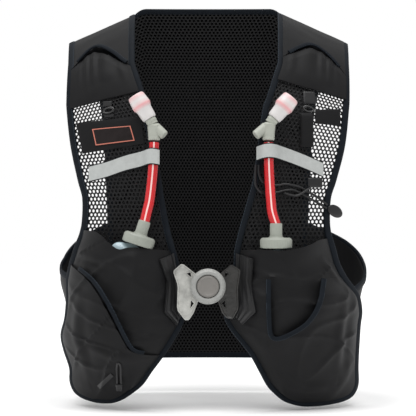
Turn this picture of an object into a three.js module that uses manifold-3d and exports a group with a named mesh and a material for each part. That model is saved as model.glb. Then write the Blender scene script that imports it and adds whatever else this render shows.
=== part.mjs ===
// A running hydration vest with two soft flasks, held open as on a body.
// Millimetres, +Z up. The chest faces -Y and the origin is at the shoulder seat,
// between the shoulders. Left and right are as seen from in front.
import * as THREE from 'three';
import { mergeVertices } from 'three/addons/utils/BufferGeometryUtils.js';
import Module from 'manifold-3d';

const wasm = await Module();
wasm.setup();

// Driving sizes of the worn form
const LENGTH = 414; // shoulder seat to the lowest edge of the fronts
const HALF_WIDTH = 165.5; // middle to side, round the ribs
const SIDE_SHIFT = 5.5; // how much further the right side stands out than the middle value
const DEPTH_FRONT = 112; // middle of the body to the chest
const DEPTH_BACK = 106; // middle of the body to the back
const SHOULDER_DROP = 36; // fall of a shoulder from neck to arm
const NECK_HALF = 72; // middle to the foot of the neck
const SHOULDER_RUN = 78; // neck to arm along the shoulder
const COLLAR_RISE = 21; // collar edge above the shoulder seat
const COLLAR_EASE = 30; // width of the bend from collar to shoulder
const HEM_DROP = LENGTH * 0.911; // shoulder seat to the hem of the back
const ROUNDNESS = 2.4; // power of the oval that the body follows

// Walls, tapes and clearances
const NET_WALL = 1.6;
const CLOTH_WALL = 1;
const BACK_WALL = 2.6;
const LAYER_GAP = 0.8; // air between two layers of cloth
const FIT = 0.3; // clearance between touching pieces
const TAPE_GAP = 0.9; // panel edge to the tape that binds it
const TAPE_WIDTH = 6.6;
const TAPE_BACK = 0.3; // how far a tape stands behind its panel
const SEAM_START = 2.2; // shoulder seam to the first row of a strap
const LAYER_COLUMNS = 8;
const LAYER_PITCH = 18; // rows of a layer of cloth, wider apart than those in its foot
const FOOT_ZONE = 34; // stretch over a foot where the rows come closer
const FOOT_LIFT = 0.8; // foot of a front to the last row of its layers
const STRAP_TAPE_THICK = 3.2;
const POCKET_TAPE_THICK = 5.7;
const MOUTH_TAPE_WIDTH = 3.8;
const MOUTH_TAPE_THICK = 1.8;

// Flasks, hoses and valves
const HOSE_RADIUS = 5.2;
const FLASK_HALF_WIDTH = 28;
const FLASK_HALF_DEPTH = 10.5;
const FLASK_LENGTH = 112;
const FLASK_TILT = 0.07; // lean of a flask back towards the body, mm per mm of its length
const CAP_RADIUS = 16.6;
const CAP_HEIGHT = 11;
const NOZZLE_RADIUS = 6.4;
const NOZZLE_HEIGHT = 15;
const ELBOW_RADIUS = 6;
const MOUTHPIECE_RADIUS = 10.2;
const MOUTHPIECE_LENGTH = 29;
const POCKET_BULGE = 32;
const STASH_BULGE = 7;
const SHOULDER_BULGE = 4;

// Buckle
const BUCKLE_FALL = LENGTH * 0.691;
const RING_RADIUS = 18.4;
const RING_THICK = 7;
const BUTTON_RADIUS = 11.6;
const WING_REACH = HALF_WIDTH * 0.2205;
const WING_THICK = 3.2;
const BASE_THICK = 2.4;

// Cords and trim
const CORD_RADIUS = 1.2;
const RING_WIRE = 1.2;
const RING_HALF_WIDTH = 5.2;
const RING_HALF_HEIGHT = 3;
const NET_PITCH_X = 9.6;
const NET_PITCH_Z = 8.8;
const NET_BAR = 1.7; // bar of net left between two gaps
const BACK_COLUMNS = 16;
const BACK_STEPS = 9;

// The line of a strap from its seam behind the shoulder, over it and down the front. Depth is a share of
// DEPTH_BACK behind and DEPTH_FRONT in front, fall a share of LENGTH, wide of HALF_WIDTH, slope of
// SHOULDER_DROP.
const STRAP_ROWS = [
  { depth: 0.7, fall: -0.022, wide: 1.24, slope: 1 },
  { depth: 0.42, fall: -0.034, wide: 1.24, slope: 1 },
  { depth: 0.12, fall: -0.018, wide: 1.22, slope: 1 },
  { depth: -0.16, fall: 0.012, wide: 1.2, slope: 1 },
  { depth: -0.42, fall: 0.062, wide: 1.16, slope: 0.9 },
  { depth: -0.63, fall: 0.135, wide: 1.12, slope: 0.7 },
  { depth: -0.79, fall: 0.235, wide: 1.08, slope: 0.4 },
  { depth: -0.89, fall: 0.36, wide: 1.04, slope: 0.15 },
  { depth: -0.96, fall: 0.51, wide: 1.01, slope: 0 },
  { depth: -1, fall: 0.68, wide: 1, slope: 0 },
  { depth: -1, fall: 0.84, wide: 1, slope: 0 },
  { depth: -0.96, fall: 1.02, wide: 1, slope: 0 },
];

// The back panel from collar (0) to hem (1): depth as a share of DEPTH_BACK, wide and edge of HALF_WIDTH
const BACK_ROWS = [
  { down: 0, depth: 0.7, wide: 1.24, edge: 0.9 },
  { down: 0.1, depth: 0.8, wide: 1.2, edge: 0.8 },
  { down: 0.2, depth: 0.89, wide: 1.15, edge: 0.74 },
  { down: 0.32, depth: 0.96, wide: 1.09, edge: 0.715 },
  { down: 0.46, depth: 1, wide: 1.04, edge: 0.7 },
  { down: 0.6, depth: 1.01, wide: 1, edge: 0.69 },
  { down: 0.74, depth: 1, wide: 1, edge: 0.71 },
  { down: 0.87, depth: 0.98, wide: 1, edge: 0.74 },
  { down: 1, depth: 0.95, wide: 1, edge: 0.75 },
];

// Outline of each front: fall as a share of LENGTH, inner and outer edge as shares of HALF_WIDTH
const FRONT_ROWS = {
  left: [
    { fall: 0.122, inner: 0.47, outer: 0.914 },
    { fall: 0.211, inner: 0.397, outer: 0.914 },
    { fall: 0.245, inner: 0.381, outer: 0.91 },
    { fall: 0.338, inner: 0.334, outer: 0.88 },
    { fall: 0.424, inner: 0.295, outer: 0.832 },
    { fall: 0.475, inner: 0.275, outer: 0.8 },
    { fall: 0.551, inner: 0.238, outer: 0.81 },
    { fall: 0.602, inner: 0.203, outer: 0.85 },
    { fall: 0.64, inner: 0.18, outer: 0.88 },
    { fall: 0.685, inner: 0.171, outer: 0.9 },
    { fall: 0.733, inner: 0.159, outer: 0.9 },
    { fall: 0.782, inner: 0.152, outer: 0.912 },
    { fall: 0.825, inner: 0.206, outer: 0.94 },
    { fall: 0.863, inner: 0.266, outer: 0.92 },
    { fall: 0.908, inner: 0.349, outer: 0.878 },
    { fall: 0.941, inner: 0.406, outer: 0.876 },
    { fall: 0.967, inner: 0.482, outer: 0.85 },
    { fall: 0.982, inner: 0.54, outer: 0.8 },
    { fall: 0.991, inner: 0.6, outer: 0.72 },
    { fall: 0.993, inner: 0.66, outer: 0.66 },
  ],
  right: [
    { fall: 0.122, inner: 0.447, outer: 0.921 },
    { fall: 0.211, inner: 0.375, outer: 0.913 },
    { fall: 0.245, inner: 0.346, outer: 0.906 },
    { fall: 0.338, inner: 0.314, outer: 0.876 },
    { fall: 0.424, inner: 0.283, outer: 0.819 },
    { fall: 0.475, inner: 0.248, outer: 0.78 },
    { fall: 0.551, inner: 0.194, outer: 0.777 },
    { fall: 0.602, inner: 0.165, outer: 0.806 },
    { fall: 0.64, inner: 0.16, outer: 0.834 },
    { fall: 0.675, inner: 0.155, outer: 0.882 },
    { fall: 0.7, inner: 0.145, outer: 0.93 },
    { fall: 0.725, inner: 0.125, outer: 0.966 },
    { fall: 0.765, inner: 0.1, outer: 0.982 },
    { fall: 0.8, inner: 0.135, outer: 0.97 },
    { fall: 0.863, inner: 0.257, outer: 0.959 },
    { fall: 0.908, inner: 0.32, outer: 0.955 },
    { fall: 0.945, inner: 0.371, outer: 0.957 },
    { fall: 0.967, inner: 0.422, outer: 0.942 },
    { fall: 0.984, inner: 0.475, outer: 0.905 },
    { fall: 0.994, inner: 0.54, outer: 0.83 },
    { fall: 0.999, inner: 0.6, outer: 0.72 },
    { fall: 1, inner: 0.66, outer: 0.66 },
  ],
};

// Upper edges of the layers on each front: place across as a share of HALF_WIDTH, fall of LENGTH
const FLASK_POCKET_TOP = {
  left: [
    [0.2, 0.612], [0.27, 0.602], [0.37, 0.598], [0.49, 0.594], [0.57, 0.597], [0.68, 0.561], [0.74, 0.553],
    [0.85, 0.553],
  ],
  right: [
    [0.16, 0.609], [0.235, 0.6], [0.45, 0.601], [0.535, 0.598], [0.6, 0.593], [0.66, 0.585], [0.717, 0.575],
    [0.86, 0.57],
  ],
};
const STASH_TOP = {
  left: [
    [0.3, 0.864], [0.37, 0.862], [0.47, 0.85], [0.54, 0.805], [0.62, 0.74], [0.7, 0.69], [0.78, 0.66],
    [0.92, 0.63],
  ],
  right: [[0.1, 0.672], [1, 0.672]],
};
// The scooped mouth of the right stash pocket
const STASH_SCOOP = [
  [0.372, 0.6], [0.372, 0.745], [0.38, 0.8], [0.402, 0.8195], [0.45, 0.82], [0.53, 0.806], [0.615, 0.784],
  [0.677, 0.752], [0.712, 0.716], [0.729, 0.6],
];
const SHOULDER_POCKET_TOP = {
  left: [
    [0.46, 0.135], [0.54, 0.118], [0.62, 0.092], [0.7, 0.075], [0.76, 0.078], [0.82, 0.1], [0.92, 0.145],
  ],
  right: [
    [0.44, 0.115], [0.52, 0.096], [0.6, 0.078], [0.67, 0.07], [0.74, 0.082], [0.82, 0.112], [0.92, 0.165],
  ],
};
const YOKE_FOOT = { left: 0.213, right: 0.186 };

// Stretches of net that show the light through: across and down, in the same shares
const NET_WINDOWS = {
  left: [
    { across: [0.68, 0.84], down: [0.228, 0.252] },
    { across: [0.63, 0.77], down: [0.345, 0.375] },
    { across: [0.58, 0.72], down: [0.475, 0.545] },
  ],
  right: [
    { across: [0.67, 0.85], down: [0.205, 0.242] },
    { across: [0.66, 0.8], down: [0.285, 0.365] },
  ],
};

const HOSE_ROUTE = {
  left: [
    [0.341, 0.33, 9.4], [0.347, 0.39, 9], [0.358, 0.44, 9.4], [0.37, 0.48, 12.6], [0.386, 0.508, 16.4],
    [0.392, 0.518, 18],
  ],
  right: [
    [0.383, 0.33, 9.4], [0.384, 0.376, 9], [0.389, 0.43, 9.4], [0.397, 0.48, 12.8], [0.404, 0.508, 16.4],
    [0.408, 0.522, 18],
  ],
};
const BAND = {
  left: {
    top: [[0.306, 0.346], [0.345, 0.343], [0.375, 0.3435], [0.43, 0.35], [0.53, 0.36], [0.65, 0.376], [0.765, 0.387]],
    drop: 0.042,
  },
  right: { top: [[0.312, 0.338], [0.38, 0.331], [0.46, 0.336], [0.6, 0.356], [0.735, 0.379]], drop: 0.038 },
};
const CAP_PLACE = {
  left: { across: 0.434, fall: 0.575, lean: 18, bodyLean: 4 },
  right: { across: 0.427, fall: 0.583, lean: 0, bodyLean: -6 },
};
const VALVE = {
  left: { foot: [0.341, 0.324], bend: [0.341, 0.287], tip: [0.451, 0.216], knob: [0.275, 0.312] },
  right: { foot: [0.383, 0.324], bend: [0.385, 0.284], tip: [0.509, 0.224], knob: [0.3, 0.312] },
};

const SIGN = { left: -1, right: 1 };
const COLOURS = {
  net: 0x1b1c1e,
  cloth: 0x2c2b2c,
  tape: 0x20282f,
  band: 0xd5d8d6,
  hose: 0xd8252b,
  cap: 0xa0a49b,
  elbow: 0xb5b8ad,
  mouthpiece: 0xe2d4d3,
  flask: 0xa8bcc4,
  wing: 0xc9c9c4,
  dark: 0x4a4a47,
  ring: 0xa5a6a4,
  button: 0x7f7c79,
  rubber: 0x202021,
  plate: 0x2a2424,
};

const vest = new THREE.Group();

function add(name, geometry, colour, roughness = 0.85, metalness = 0) {
  const material = new THREE.MeshStandardMaterial({ color: colour, roughness, metalness });
  const mesh = new THREE.Mesh(geometry, material);
  mesh.name = name;
  vest.add(mesh);
  return mesh;
}

// Tables and curves

function smooth(a, b, c, d, t) {
  const linear = (c - a) * 0.5;
  const square = a - 2.5 * b + 2 * c - 0.5 * d;
  const cube = 1.5 * (b - c) + 0.5 * (d - a);
  return b + t * (linear + t * (square + t * cube));
}

function rowValue(rows, column, place) {
  const last = rows.length - 1;
  const i = Math.min(Math.max(Math.floor(place), 0), last - 1);
  const pick = (k) => rows[Math.min(Math.max(k, 0), last)][column];
  return smooth(pick(i - 1), pick(i), pick(i + 1), pick(i + 2), place - i);
}

function rowPlace(rows, column, value) {
  const last = rows.length - 1;
  let i = 0;
  while (i < last - 1 && rows[i + 1][column] < value) i += 1;
  return i + (value - rows[i][column]) / (rows[i + 1][column] - rows[i][column]);
}

function lineAt(points, x) {
  const last = points.length - 1;
  let i = 0;
  while (i < last - 1 && points[i + 1][0] < x) i += 1;
  const t = (x - points[i][0]) / (points[i + 1][0] - points[i][0]);
  return points[i][1] + (points[i + 1][1] - points[i][1]) * Math.min(Math.max(t, 0), 1);
}

// The body under the vest

function oval(x, wide) {
  const half = (HALF_WIDTH + Math.sign(x) * SIDE_SHIFT) * wide;
  const share = Math.min(Math.abs(x) / half, 0.992);
  return (1 - share ** ROUNDNESS) ** (1 / ROUNDNESS);
}

function shoulderFall(x) {
  return SHOULDER_DROP * Math.max(0, Math.abs(x) - NECK_HALF) / SHOULDER_RUN;
}

const STATIONS = STRAP_ROWS.reduce((list, row, i) => {
  if (i === 0) return [0];
  const from = STRAP_ROWS[i - 1];
  const rise = (row.fall - from.fall) * LENGTH;
  const reach = (row.depth - from.depth) * DEPTH_FRONT;
  return [...list, list[i - 1] + Math.hypot(rise, reach)];
}, []);
const STRAP_END = STATIONS[STATIONS.length - 1];

function strapPlace(along) {
  let i = 0;
  while (i < STATIONS.length - 2 && STATIONS[i + 1] < along) i += 1;
  return i + (along - STATIONS[i]) / (STATIONS[i + 1] - STATIONS[i]);
}

function frontBare(x, along) {
  const place = strapPlace(along);
  const share = rowValue(STRAP_ROWS, 'depth', place);
  const depth = share * (share > 0 ? DEPTH_BACK : DEPTH_FRONT);
  const fall = rowValue(STRAP_ROWS, 'fall', place) * LENGTH;
  const slope = rowValue(STRAP_ROWS, 'slope', place);
  const wide = rowValue(STRAP_ROWS, 'wide', place);
  return new THREE.Vector3(x, depth * oval(x, wide), -fall - slope * shoulderFall(x));
}

function raised(bare, a, b, out) {
  const step = 0.5;
  const across = bare(a + step, b).sub(bare(a - step, b));
  const down = bare(a, b + step).sub(bare(a, b - step));
  return bare(a, b).addScaledVector(down.cross(across).normalize(), out);
}

// A point of a front: across from the middle, along the strap line from its back seam, out from the body
function front(x, along, out) {
  return raised(frontBare, x, along, out);
}

// The place along the strap line at which the front lies at a given fall below the shoulder seat
function alongAt(x, fall) {
  let low = STATIONS[1];
  let high = STRAP_END;
  for (let i = 0; i < 30; i += 1) {
    const middle = (low + high) / 2;
    if (-frontBare(x, middle).z < fall) low = middle;
    else high = middle;
  }
  return (low + high) / 2;
}

// The foot on the body of a point that is seen from in front at x and fall, standing out by a length or by
// level(x, along)
function aim(x, fall, out) {
  const level = typeof out === 'number' ? () => out : out;
  let [across, along] = [x, alongAt(x, fall)];
  for (let i = 0; i < 30; i += 1) {
    const seen = front(across, along, level(across, along));
    across += (x - seen.x) * 0.4;
    along += (fall + seen.z) * 0.4;
  }
  return [across, along];
}

function place(side, across, fall, out) {
  const [x, along] = aim(SIGN[side] * across * HALF_WIDTH, fall * LENGTH, out);
  return front(x, along, typeof out === 'number' ? out : out(x, along));
}

function collarLine(x) {
  const seam = frontBare(x, 0).z;
  const ease = Math.min(Math.max((Math.abs(x) - NECK_HALF + 2) / COLLAR_EASE, 0), 1);
  const blend = ease * ease * (3 - 2 * ease);
  return COLLAR_RISE * (1 - blend) + (seam - FIT) * blend;
}

function backBare(x, down) {
  const share = down / (COLLAR_RISE + HEM_DROP);
  const at = rowPlace(BACK_ROWS, 'down', share);
  const depth = rowValue(BACK_ROWS, 'depth', at) * DEPTH_BACK;
  const wide = rowValue(BACK_ROWS, 'wide', at);
  const top = collarLine(x);
  return new THREE.Vector3(x, depth * oval(x, wide), top - share * (top + HEM_DROP));
}

const BACK_LENGTH = COLLAR_RISE + HEM_DROP;

function back(x, down, out) {
  return raised(backBare, x, down, -out);
}

function backEdge(share) {
  return rowValue(BACK_ROWS, 'edge', rowPlace(BACK_ROWS, 'down', share)) * HALF_WIDTH;
}

// Solids

function bare(geometry) {
  geometry.deleteAttribute('normal');
  geometry.deleteAttribute('uv');
  return mergeVertices(geometry, 1e-4);
}

function volume(geometry) {
  const p = geometry.attributes.position;
  const index = geometry.index.array;
  const [a, b, c] = [new THREE.Vector3(), new THREE.Vector3(), new THREE.Vector3()];
  let sum = 0;
  for (let i = 0; i < index.length; i += 3) {
    a.fromBufferAttribute(p, index[i]);
    b.fromBufferAttribute(p, index[i + 1]);
    c.fromBufferAttribute(p, index[i + 2]);
    sum += a.dot(b.cross(c)) / 6;
  }
  return sum;
}

function facingOut(geometry) {
  if (volume(geometry) < 0) {
    const index = geometry.index.array;
    for (let i = 0; i < index.length; i += 3) [index[i], index[i + 1]] = [index[i + 1], index[i]];
  }
  return geometry;
}

// A flat plate cut in across by down squares, each corner moved to place(u, v, h), with u, v and h from 0 to 1
function bent(across, down, placed) {
  const plate = bare(new THREE.BoxGeometry(1, 1, 1, across, down, 1));
  const p = plate.attributes.position;
  for (let i = 0; i < p.count; i += 1) {
    const spot = placed(p.getX(i) + 0.5, p.getY(i) + 0.5, p.getZ(i) + 0.5);
    p.setXYZ(i, spot.x, spot.y, spot.z);
  }
  return facingOut(plate);
}

function solid(geometry) {
  return new wasm.Manifold(new wasm.Mesh({
    numProp: 3,
    vertProperties: new Float32Array(geometry.attributes.position.array),
    triVerts: new Uint32Array(geometry.index.array),
  }));
}

function fromSolid(manifold) {
  const mesh = manifold.getMesh();
  const geometry = new THREE.BufferGeometry();
  geometry.setAttribute('position', new THREE.BufferAttribute(mesh.vertProperties, 3));
  geometry.setIndex(new THREE.BufferAttribute(mesh.triVerts, 1));
  return geometry;
}

function tube(points, radius, sides, steps) {
  const circle = new THREE.Shape();
  for (let i = 0; i < sides; i += 1) {
    const turn = i / sides * 2 * Math.PI;
    const [x, y] = [radius * Math.cos(turn), radius * Math.sin(turn)];
    if (i === 0) circle.moveTo(x, y);
    else circle.lineTo(x, y);
  }
  circle.closePath();
  const extrudePath = new THREE.CatmullRomCurve3(points);
  return bare(new THREE.ExtrudeGeometry(circle, { steps, extrudePath, bevelEnabled: false }));
}

function turned(profile, sides) {
  return new THREE.LatheGeometry(profile.map(([r, h]) => new THREE.Vector2(r, h)), sides);
}

// A turned piece whose axis runs from one point towards another
function turnedBetween(profile, sides, from, to) {
  const geometry = turned(profile, sides);
  const aim = to.clone().sub(from).normalize();
  const turn = new THREE.Quaternion().setFromUnitVectors(new THREE.Vector3(0, 1, 0), aim);
  geometry.applyQuaternion(turn);
  geometry.translate(from.x, from.y, from.z);
  return geometry;
}

// Outline of a front, in mm across and mm along the strap line

function frontEdge(side, column) {
  const rows = FRONT_ROWS[side];
  const finer = 3;
  const first = rows[0][column] * HALF_WIDTH;
  const points = [[SIGN[side] * (first + 4), SEAM_START]];
  for (let i = 0; i <= (rows.length - 1) * finer; i += 1) {
    const x = SIGN[side] * rowValue(rows, column, i / finer) * HALF_WIDTH;
    points.push([x, alongAt(x, rowValue(rows, 'fall', i / finer) * LENGTH)]);
  }
  return points;
}

function inset(points, distance) {
  return points.map(([x, along], i) => {
    const before = points[Math.max(i - 1, 0)];
    const after = points[Math.min(i + 1, points.length - 1)];
    const [dx, da] = [after[0] - before[0], after[1] - before[1]];
    const size = Math.hypot(dx, da);
    return [x - da / size * distance, along + dx / size * distance];
  });
}

// The edge of a front, distance inside its outline, as the tape or the panel follows it. It runs down the
// inner edge, round the foot and up the outer edge.
function frontLoop(side, distance) {
  const loop = [...frontEdge(side, 'inner'), ...frontEdge(side, 'outer').reverse().slice(1)];
  return inset(loop, -SIGN[side] * distance);
}

function frontSpan(side, distance) {
  const loop = frontLoop(side, distance);
  const foot = loop.reduce((best, point, i) => (point[1] > loop[best][1] ? i : best), 0);
  const rising = (points) => points.filter(([, along], i) => i === 0 || along > points[i - 1][1]);
  const inner = rising(loop.slice(0, foot + 1)).map(([x, along]) => [along, x]);
  const outer = rising(loop.slice(foot).reverse()).map(([x, along]) => [along, x]);
  return { inner, outer, foot: loop[foot][1] };
}

// Places for rows of squares: wide apart on the long stretch, close where the foot turns
function stations(from, to, wide, close, closing) {
  const list = [from];
  while (list[list.length - 1] < to - 1.5) {
    const at = list[list.length - 1];
    const left = to - at;
    const pitch = left > closing ? wide : Math.max(close, left * 0.35);
    list.push(Math.min(at + pitch, to));
  }
  return list;
}

const PANEL_INSET = TAPE_WIDTH + TAPE_GAP;
const SPAN = {
  left: frontSpan('left', PANEL_INSET),
  right: frontSpan('right', PANEL_INSET),
};

// A layer of cloth on a front, between an upper edge line and the foot or a lower fall
function layer(side, top, out, wall, columns, pitch, foot) {
  const span = SPAN[side];
  const seen = top.map(([across, fall]) => {
    return aim(SIGN[side] * across * HALF_WIDTH, fall * LENGTH, (x, along) => out(x, along, 0.5, 0));
  });
  const line = seen.map(([x, along]) => [Math.abs(x), along]);
  const high = Math.min(...line.map(([, along]) => along));
  const low = foot ?? span.foot - FOOT_LIFT;
  const rows = stations(high, low, pitch, 4, FOOT_ZONE);
  const xAt = (u, along) => lineAt(span.inner, along) * (1 - u) + lineAt(span.outer, along) * u;
  return bent(columns, rows.length - 1, (u, v, h) => {
    const row = rows[Math.round(v * (rows.length - 1))];
    let along = row;
    for (let i = 0; i < 12; i += 1) {
      const upper = lineAt(line, Math.abs(xAt(u, along)));
      const next = upper + (row - high) / (low - high) * (low - upper);
      along += (next - along) * 0.5;
    }
    const x = xAt(u, along);
    return front(x, along, out(x, along, u, v) + h * wall);
  });
}

// How far the flask pocket stands out from its panel, over the flask and down to the foot
function pocketOut(side, x, along) {
  const span = SPAN[side];
  const inner = lineAt(span.inner, along);
  const outer = lineAt(span.outer, along);
  const middle = SIGN[side] * CAP_PLACE[side].across * HALF_WIDTH * 1.08;
  const reach = x * SIGN[side] < middle * SIGN[side]
    ? (x - inner) / (middle - inner)
    : (outer - x) / (outer - middle);
  const across = Math.sin(Math.min(Math.max(reach, 0), 1) * Math.PI / 2) ** 0.9;
  const below = Math.min(Math.max((span.foot - along) / 95, 0), 1);
  const down = Math.sin(below * Math.PI / 2) ** 0.9;
  const fold = 1 + 0.06 * Math.sin(along / 13 + x / 17);
  return NET_WALL + LAYER_GAP + POCKET_BULGE * across * down * fold;
}

function stashOut(side, x, along) {
  const span = SPAN[side];
  const inner = lineAt(span.inner, along);
  const outer = lineAt(span.outer, along);
  const reach = Math.min(Math.max((x - inner) / (outer - inner), 0), 1);
  const below = Math.min(Math.max((span.foot - along) / 60, 0), 1);
  const rise = Math.sin(reach * Math.PI) * Math.sin(below * Math.PI / 2);
  return pocketOut(side, x, along) + CLOTH_WALL + LAYER_GAP * 2 + STASH_BULGE * rise;
}

// A tape that follows a line of [across, along] points on a front
function paced(points, longest, sharpest) {
  const kept = [points[0]];
  let turn = 0;
  for (let i = 1; i < points.length - 1; i += 1) {
    const last = kept[kept.length - 1];
    const gone = Math.hypot(points[i][0] - last[0], points[i][1] - last[1]);
    const into = Math.atan2(points[i][1] - points[i - 1][1], points[i][0] - points[i - 1][0]);
    const onto = Math.atan2(points[i + 1][1] - points[i][1], points[i + 1][0] - points[i][0]);
    turn += Math.abs(Math.atan2(Math.sin(onto - into), Math.cos(onto - into)));
    if (gone > 1.5 && (gone > longest || turn > sharpest)) {
      kept.push(points[i]);
      turn = 0;
    }
  }
  kept.push(points[points.length - 1]);
  return kept;
}

function tape(surface, points, width, low, high) {
  const steps = points.length - 1;
  return bent(steps, 1, (u, v, h) => {
    const i = Math.round(u * steps);
    const [x, along] = points[i];
    const before = points[Math.max(i - 1, 0)];
    const after = points[Math.min(i + 1, steps)];
    const [dx, da] = [after[0] - before[0], after[1] - before[1]];
    const size = Math.hypot(dx, da);
    const off = (v - 0.5) * width;
    const level = low(x, along) + (high(x, along) - low(x, along)) * h;
    return surface(x - da / size * off, along + dx / size * off, level);
  });
}

function denser(points, pitch) {
  const list = [];
  for (let i = 0; i < points.length - 1; i += 1) {
    const [a, b] = [points[i], points[i + 1]];
    const parts = Math.max(1, Math.round(Math.hypot(b[0] - a[0], b[1] - a[1]) / pitch));
    for (let k = 0; k < parts; k += 1) {
      const t = k / parts;
      list.push([a[0] + (b[0] - a[0]) * t, a[1] + (b[1] - a[1]) * t]);
    }
  }
  list.push(points[points.length - 1]);
  return list;
}

function tableLine(side, table, from, to, count, level) {
  const list = [];
  for (let i = 0; i <= count; i += 1) {
    const across = from + (to - from) * i / count;
    list.push(aim(SIGN[side] * across * HALF_WIDTH, lineAt(table, across) * LENGTH, level));
  }
  return list;
}

// A small patch on a front, given by four corners [across, fall] in shares, upper two first
function patch(side, corners, low, high, across, down) {
  const spots = corners.map(([share, fall]) => {
    const x = SIGN[side] * share * HALF_WIDTH;
    return [x, alongAt(x, fall * LENGTH)];
  });
  const mixed = (k, u, v) => (spots[0][k] * (1 - u) + spots[1][k] * u) * (1 - v)
    + (spots[2][k] * (1 - u) + spots[3][k] * u) * v;
  return bent(across, down, (u, v, h) => front(mixed(0, u, v), mixed(1, u, v), low + (high - low) * h));
}

// Strap net with the gaps that show the light

function netGaps(side) {
  const shapes = [];
  for (const window of NET_WINDOWS[side]) {
    const [near, far] = window.across.map((share) => share * HALF_WIDTH);
    const [high, low] = window.down.map((share) => share * LENGTH);
    const rows = Math.round((low - high) / NET_PITCH_Z);
    const columns = Math.round((far - near) / NET_PITCH_X);
    for (let r = 0; r <= rows; r += 1) {
      for (let c = 0; c < columns; c += 1) {
        const x = SIGN[side] * (near + (c + (r % 2) * 0.5 + 0.25) * NET_PITCH_X);
        const along = alongAt(x, high + r * NET_PITCH_Z);
        shapes.push(gapCutter(x, along));
      }
    }
  }
  return shapes;
}

function gapCutter(x, along) {
  const [halfX, halfZ] = [(NET_PITCH_X - NET_BAR) / 2, (NET_PITCH_Z * 2 - NET_BAR * 2) / 2];
  const plug = bare(new THREE.CylinderGeometry(1, 1, 1, 4));
  const p = plug.attributes.position;
  for (let i = 0; i < p.count; i += 1) {
    const spot = front(
      x + p.getX(i) * halfX,
      along + p.getZ(i) * halfZ,
      NET_WALL / 2 + p.getY(i) * NET_WALL * 3,
    );
    p.setXYZ(i, spot.x, spot.y, spot.z);
  }
  return facingOut(plug);
}

function strapNet(side) {
  const span = SPAN[side];
  const rows = stations(SEAM_START, span.foot - FOOT_LIFT, LAYER_PITCH, 5, FOOT_ZONE);
  const plain = bent(4, rows.length - 1, (u, v, h) => {
    const along = rows[Math.round(v * (rows.length - 1))];
    const x = lineAt(span.inner, along) * (1 - u) + lineAt(span.outer, along) * u;
    return front(x, along, h * NET_WALL);
  });
  let cut = solid(plain);
  for (const gap of netGaps(side)) cut = cut.subtract(solid(gap));
  return fromSolid(cut);
}

// Pieces of each front

const BINDING_PACE = 20; // longest step along a binding, in mm
const BINDING_TURN = 0.28; // largest turn between two steps, in radians

function tapeThick(side, x, along) {
  const top = alongAt(x, 0.54 * LENGTH);
  const grow = Math.min(Math.max((along - top) / 20, 0), 1);
  return STRAP_TAPE_THICK + (POCKET_TAPE_THICK - STRAP_TAPE_THICK) * grow;
}

function frontBinding(side) {
  const path = paced(denser(frontLoop(side, TAPE_WIDTH / 2), 5), BINDING_PACE, BINDING_TURN);
  const low = () => -TAPE_BACK;
  const high = (x, along) => tapeThick(side, x, along) - TAPE_BACK;
  return tape(front, path, TAPE_WIDTH, low, high);
}

function shoulderYoke(side) {
  const span = SPAN[side];
  const low = alongAt(SIGN[side] * 0.6 * HALF_WIDTH, YOKE_FOOT[side] * LENGTH);
  const rows = stations(SEAM_START, low, LAYER_PITCH, LAYER_PITCH, 0);
  return bent(4, rows.length - 1, (u, v, h) => {
    const along = rows[Math.round(v * (rows.length - 1))];
    const x = lineAt(span.inner, along) * (1 - u) + lineAt(span.outer, along) * u;
    return front(x, along, NET_WALL + LAYER_GAP / 2 + h * CLOTH_WALL);
  });
}

const POCKET_BASE = NET_WALL + LAYER_GAP / 2 + CLOTH_WALL + LAYER_GAP / 2;

function shoulderPocket(side) {
  const low = alongAt(SIGN[side] * 0.6 * HALF_WIDTH, YOKE_FOOT[side] * LENGTH);
  const top = SHOULDER_POCKET_TOP[side];
  const out = (x, along, u, v) => POCKET_BASE + SHOULDER_BULGE * Math.sin(u * Math.PI) * (1 - v);
  return layer(side, top, out, CLOTH_WALL, LAYER_COLUMNS, LAYER_PITCH, low);
}

function mouth(side, table, from, to, count, level) {
  const path = tableLine(side, table, from, to, count, level);
  const lift = MOUTH_TAPE_WIDTH / 2 + LAYER_GAP + FIT * 2;
  const raisedPath = path.map(([x, along], i) => {
    const before = path[Math.max(i - 1, 0)];
    const after = path[Math.min(i + 1, path.length - 1)];
    const [dx, da] = [after[0] - before[0], after[1] - before[1]];
    const size = Math.hypot(dx, da) * SIGN[side];
    return [x + da / size * lift, along - dx / size * lift];
  });
  const low = (x, along) => level(x, along) - (MOUTH_TAPE_THICK - CLOTH_WALL) / 2;
  const high = (x, along) => low(x, along) + MOUTH_TAPE_THICK;
  return tape(front, raisedPath, MOUTH_TAPE_WIDTH, low, high);
}

// The right stash pocket has a scoop cut out of its cloth, seen from in front
function scooped(cloth) {
  const outline = STASH_SCOOP.map(([x, fall]) => new THREE.Vector2(x * HALF_WIDTH, -fall * LENGTH));
  const depth = DEPTH_FRONT;
  const scoop = bare(new THREE.ExtrudeGeometry(new THREE.Shape(outline), { depth, bevelEnabled: false }));
  scoop.rotateX(Math.PI / 2);
  scoop.translate(0, -DEPTH_FRONT * 0.6, 0);
  return fromSolid(solid(cloth).subtract(solid(scoop)));
}

function hoseBand(side) {
  const { top, drop } = BAND[side];
  const route = HOSE_ROUTE[side];
  const [near, far] = [top[0][0], top[top.length - 1][0]];
  return bent(12, 1, (u, v, h) => {
    const across = near + (far - near) * u;
    const fall = lineAt(top, across) + v * drop;
    const hose = route[1][0];
    const hump = Math.exp(-(((across - hose) / 0.062) ** 4));
    const flat = NET_WALL + LAYER_GAP;
    const out = flat + (route[1][2] + HOSE_RADIUS + LAYER_GAP - flat) * hump;
    return place(side, across, fall, out + h * CLOTH_WALL);
  });
}

function hose(side) {
  const points = HOSE_ROUTE[side].map(([across, fall, out]) => place(side, across, fall, out));
  return tube(points, HOSE_RADIUS, 10, 9);
}

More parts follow.
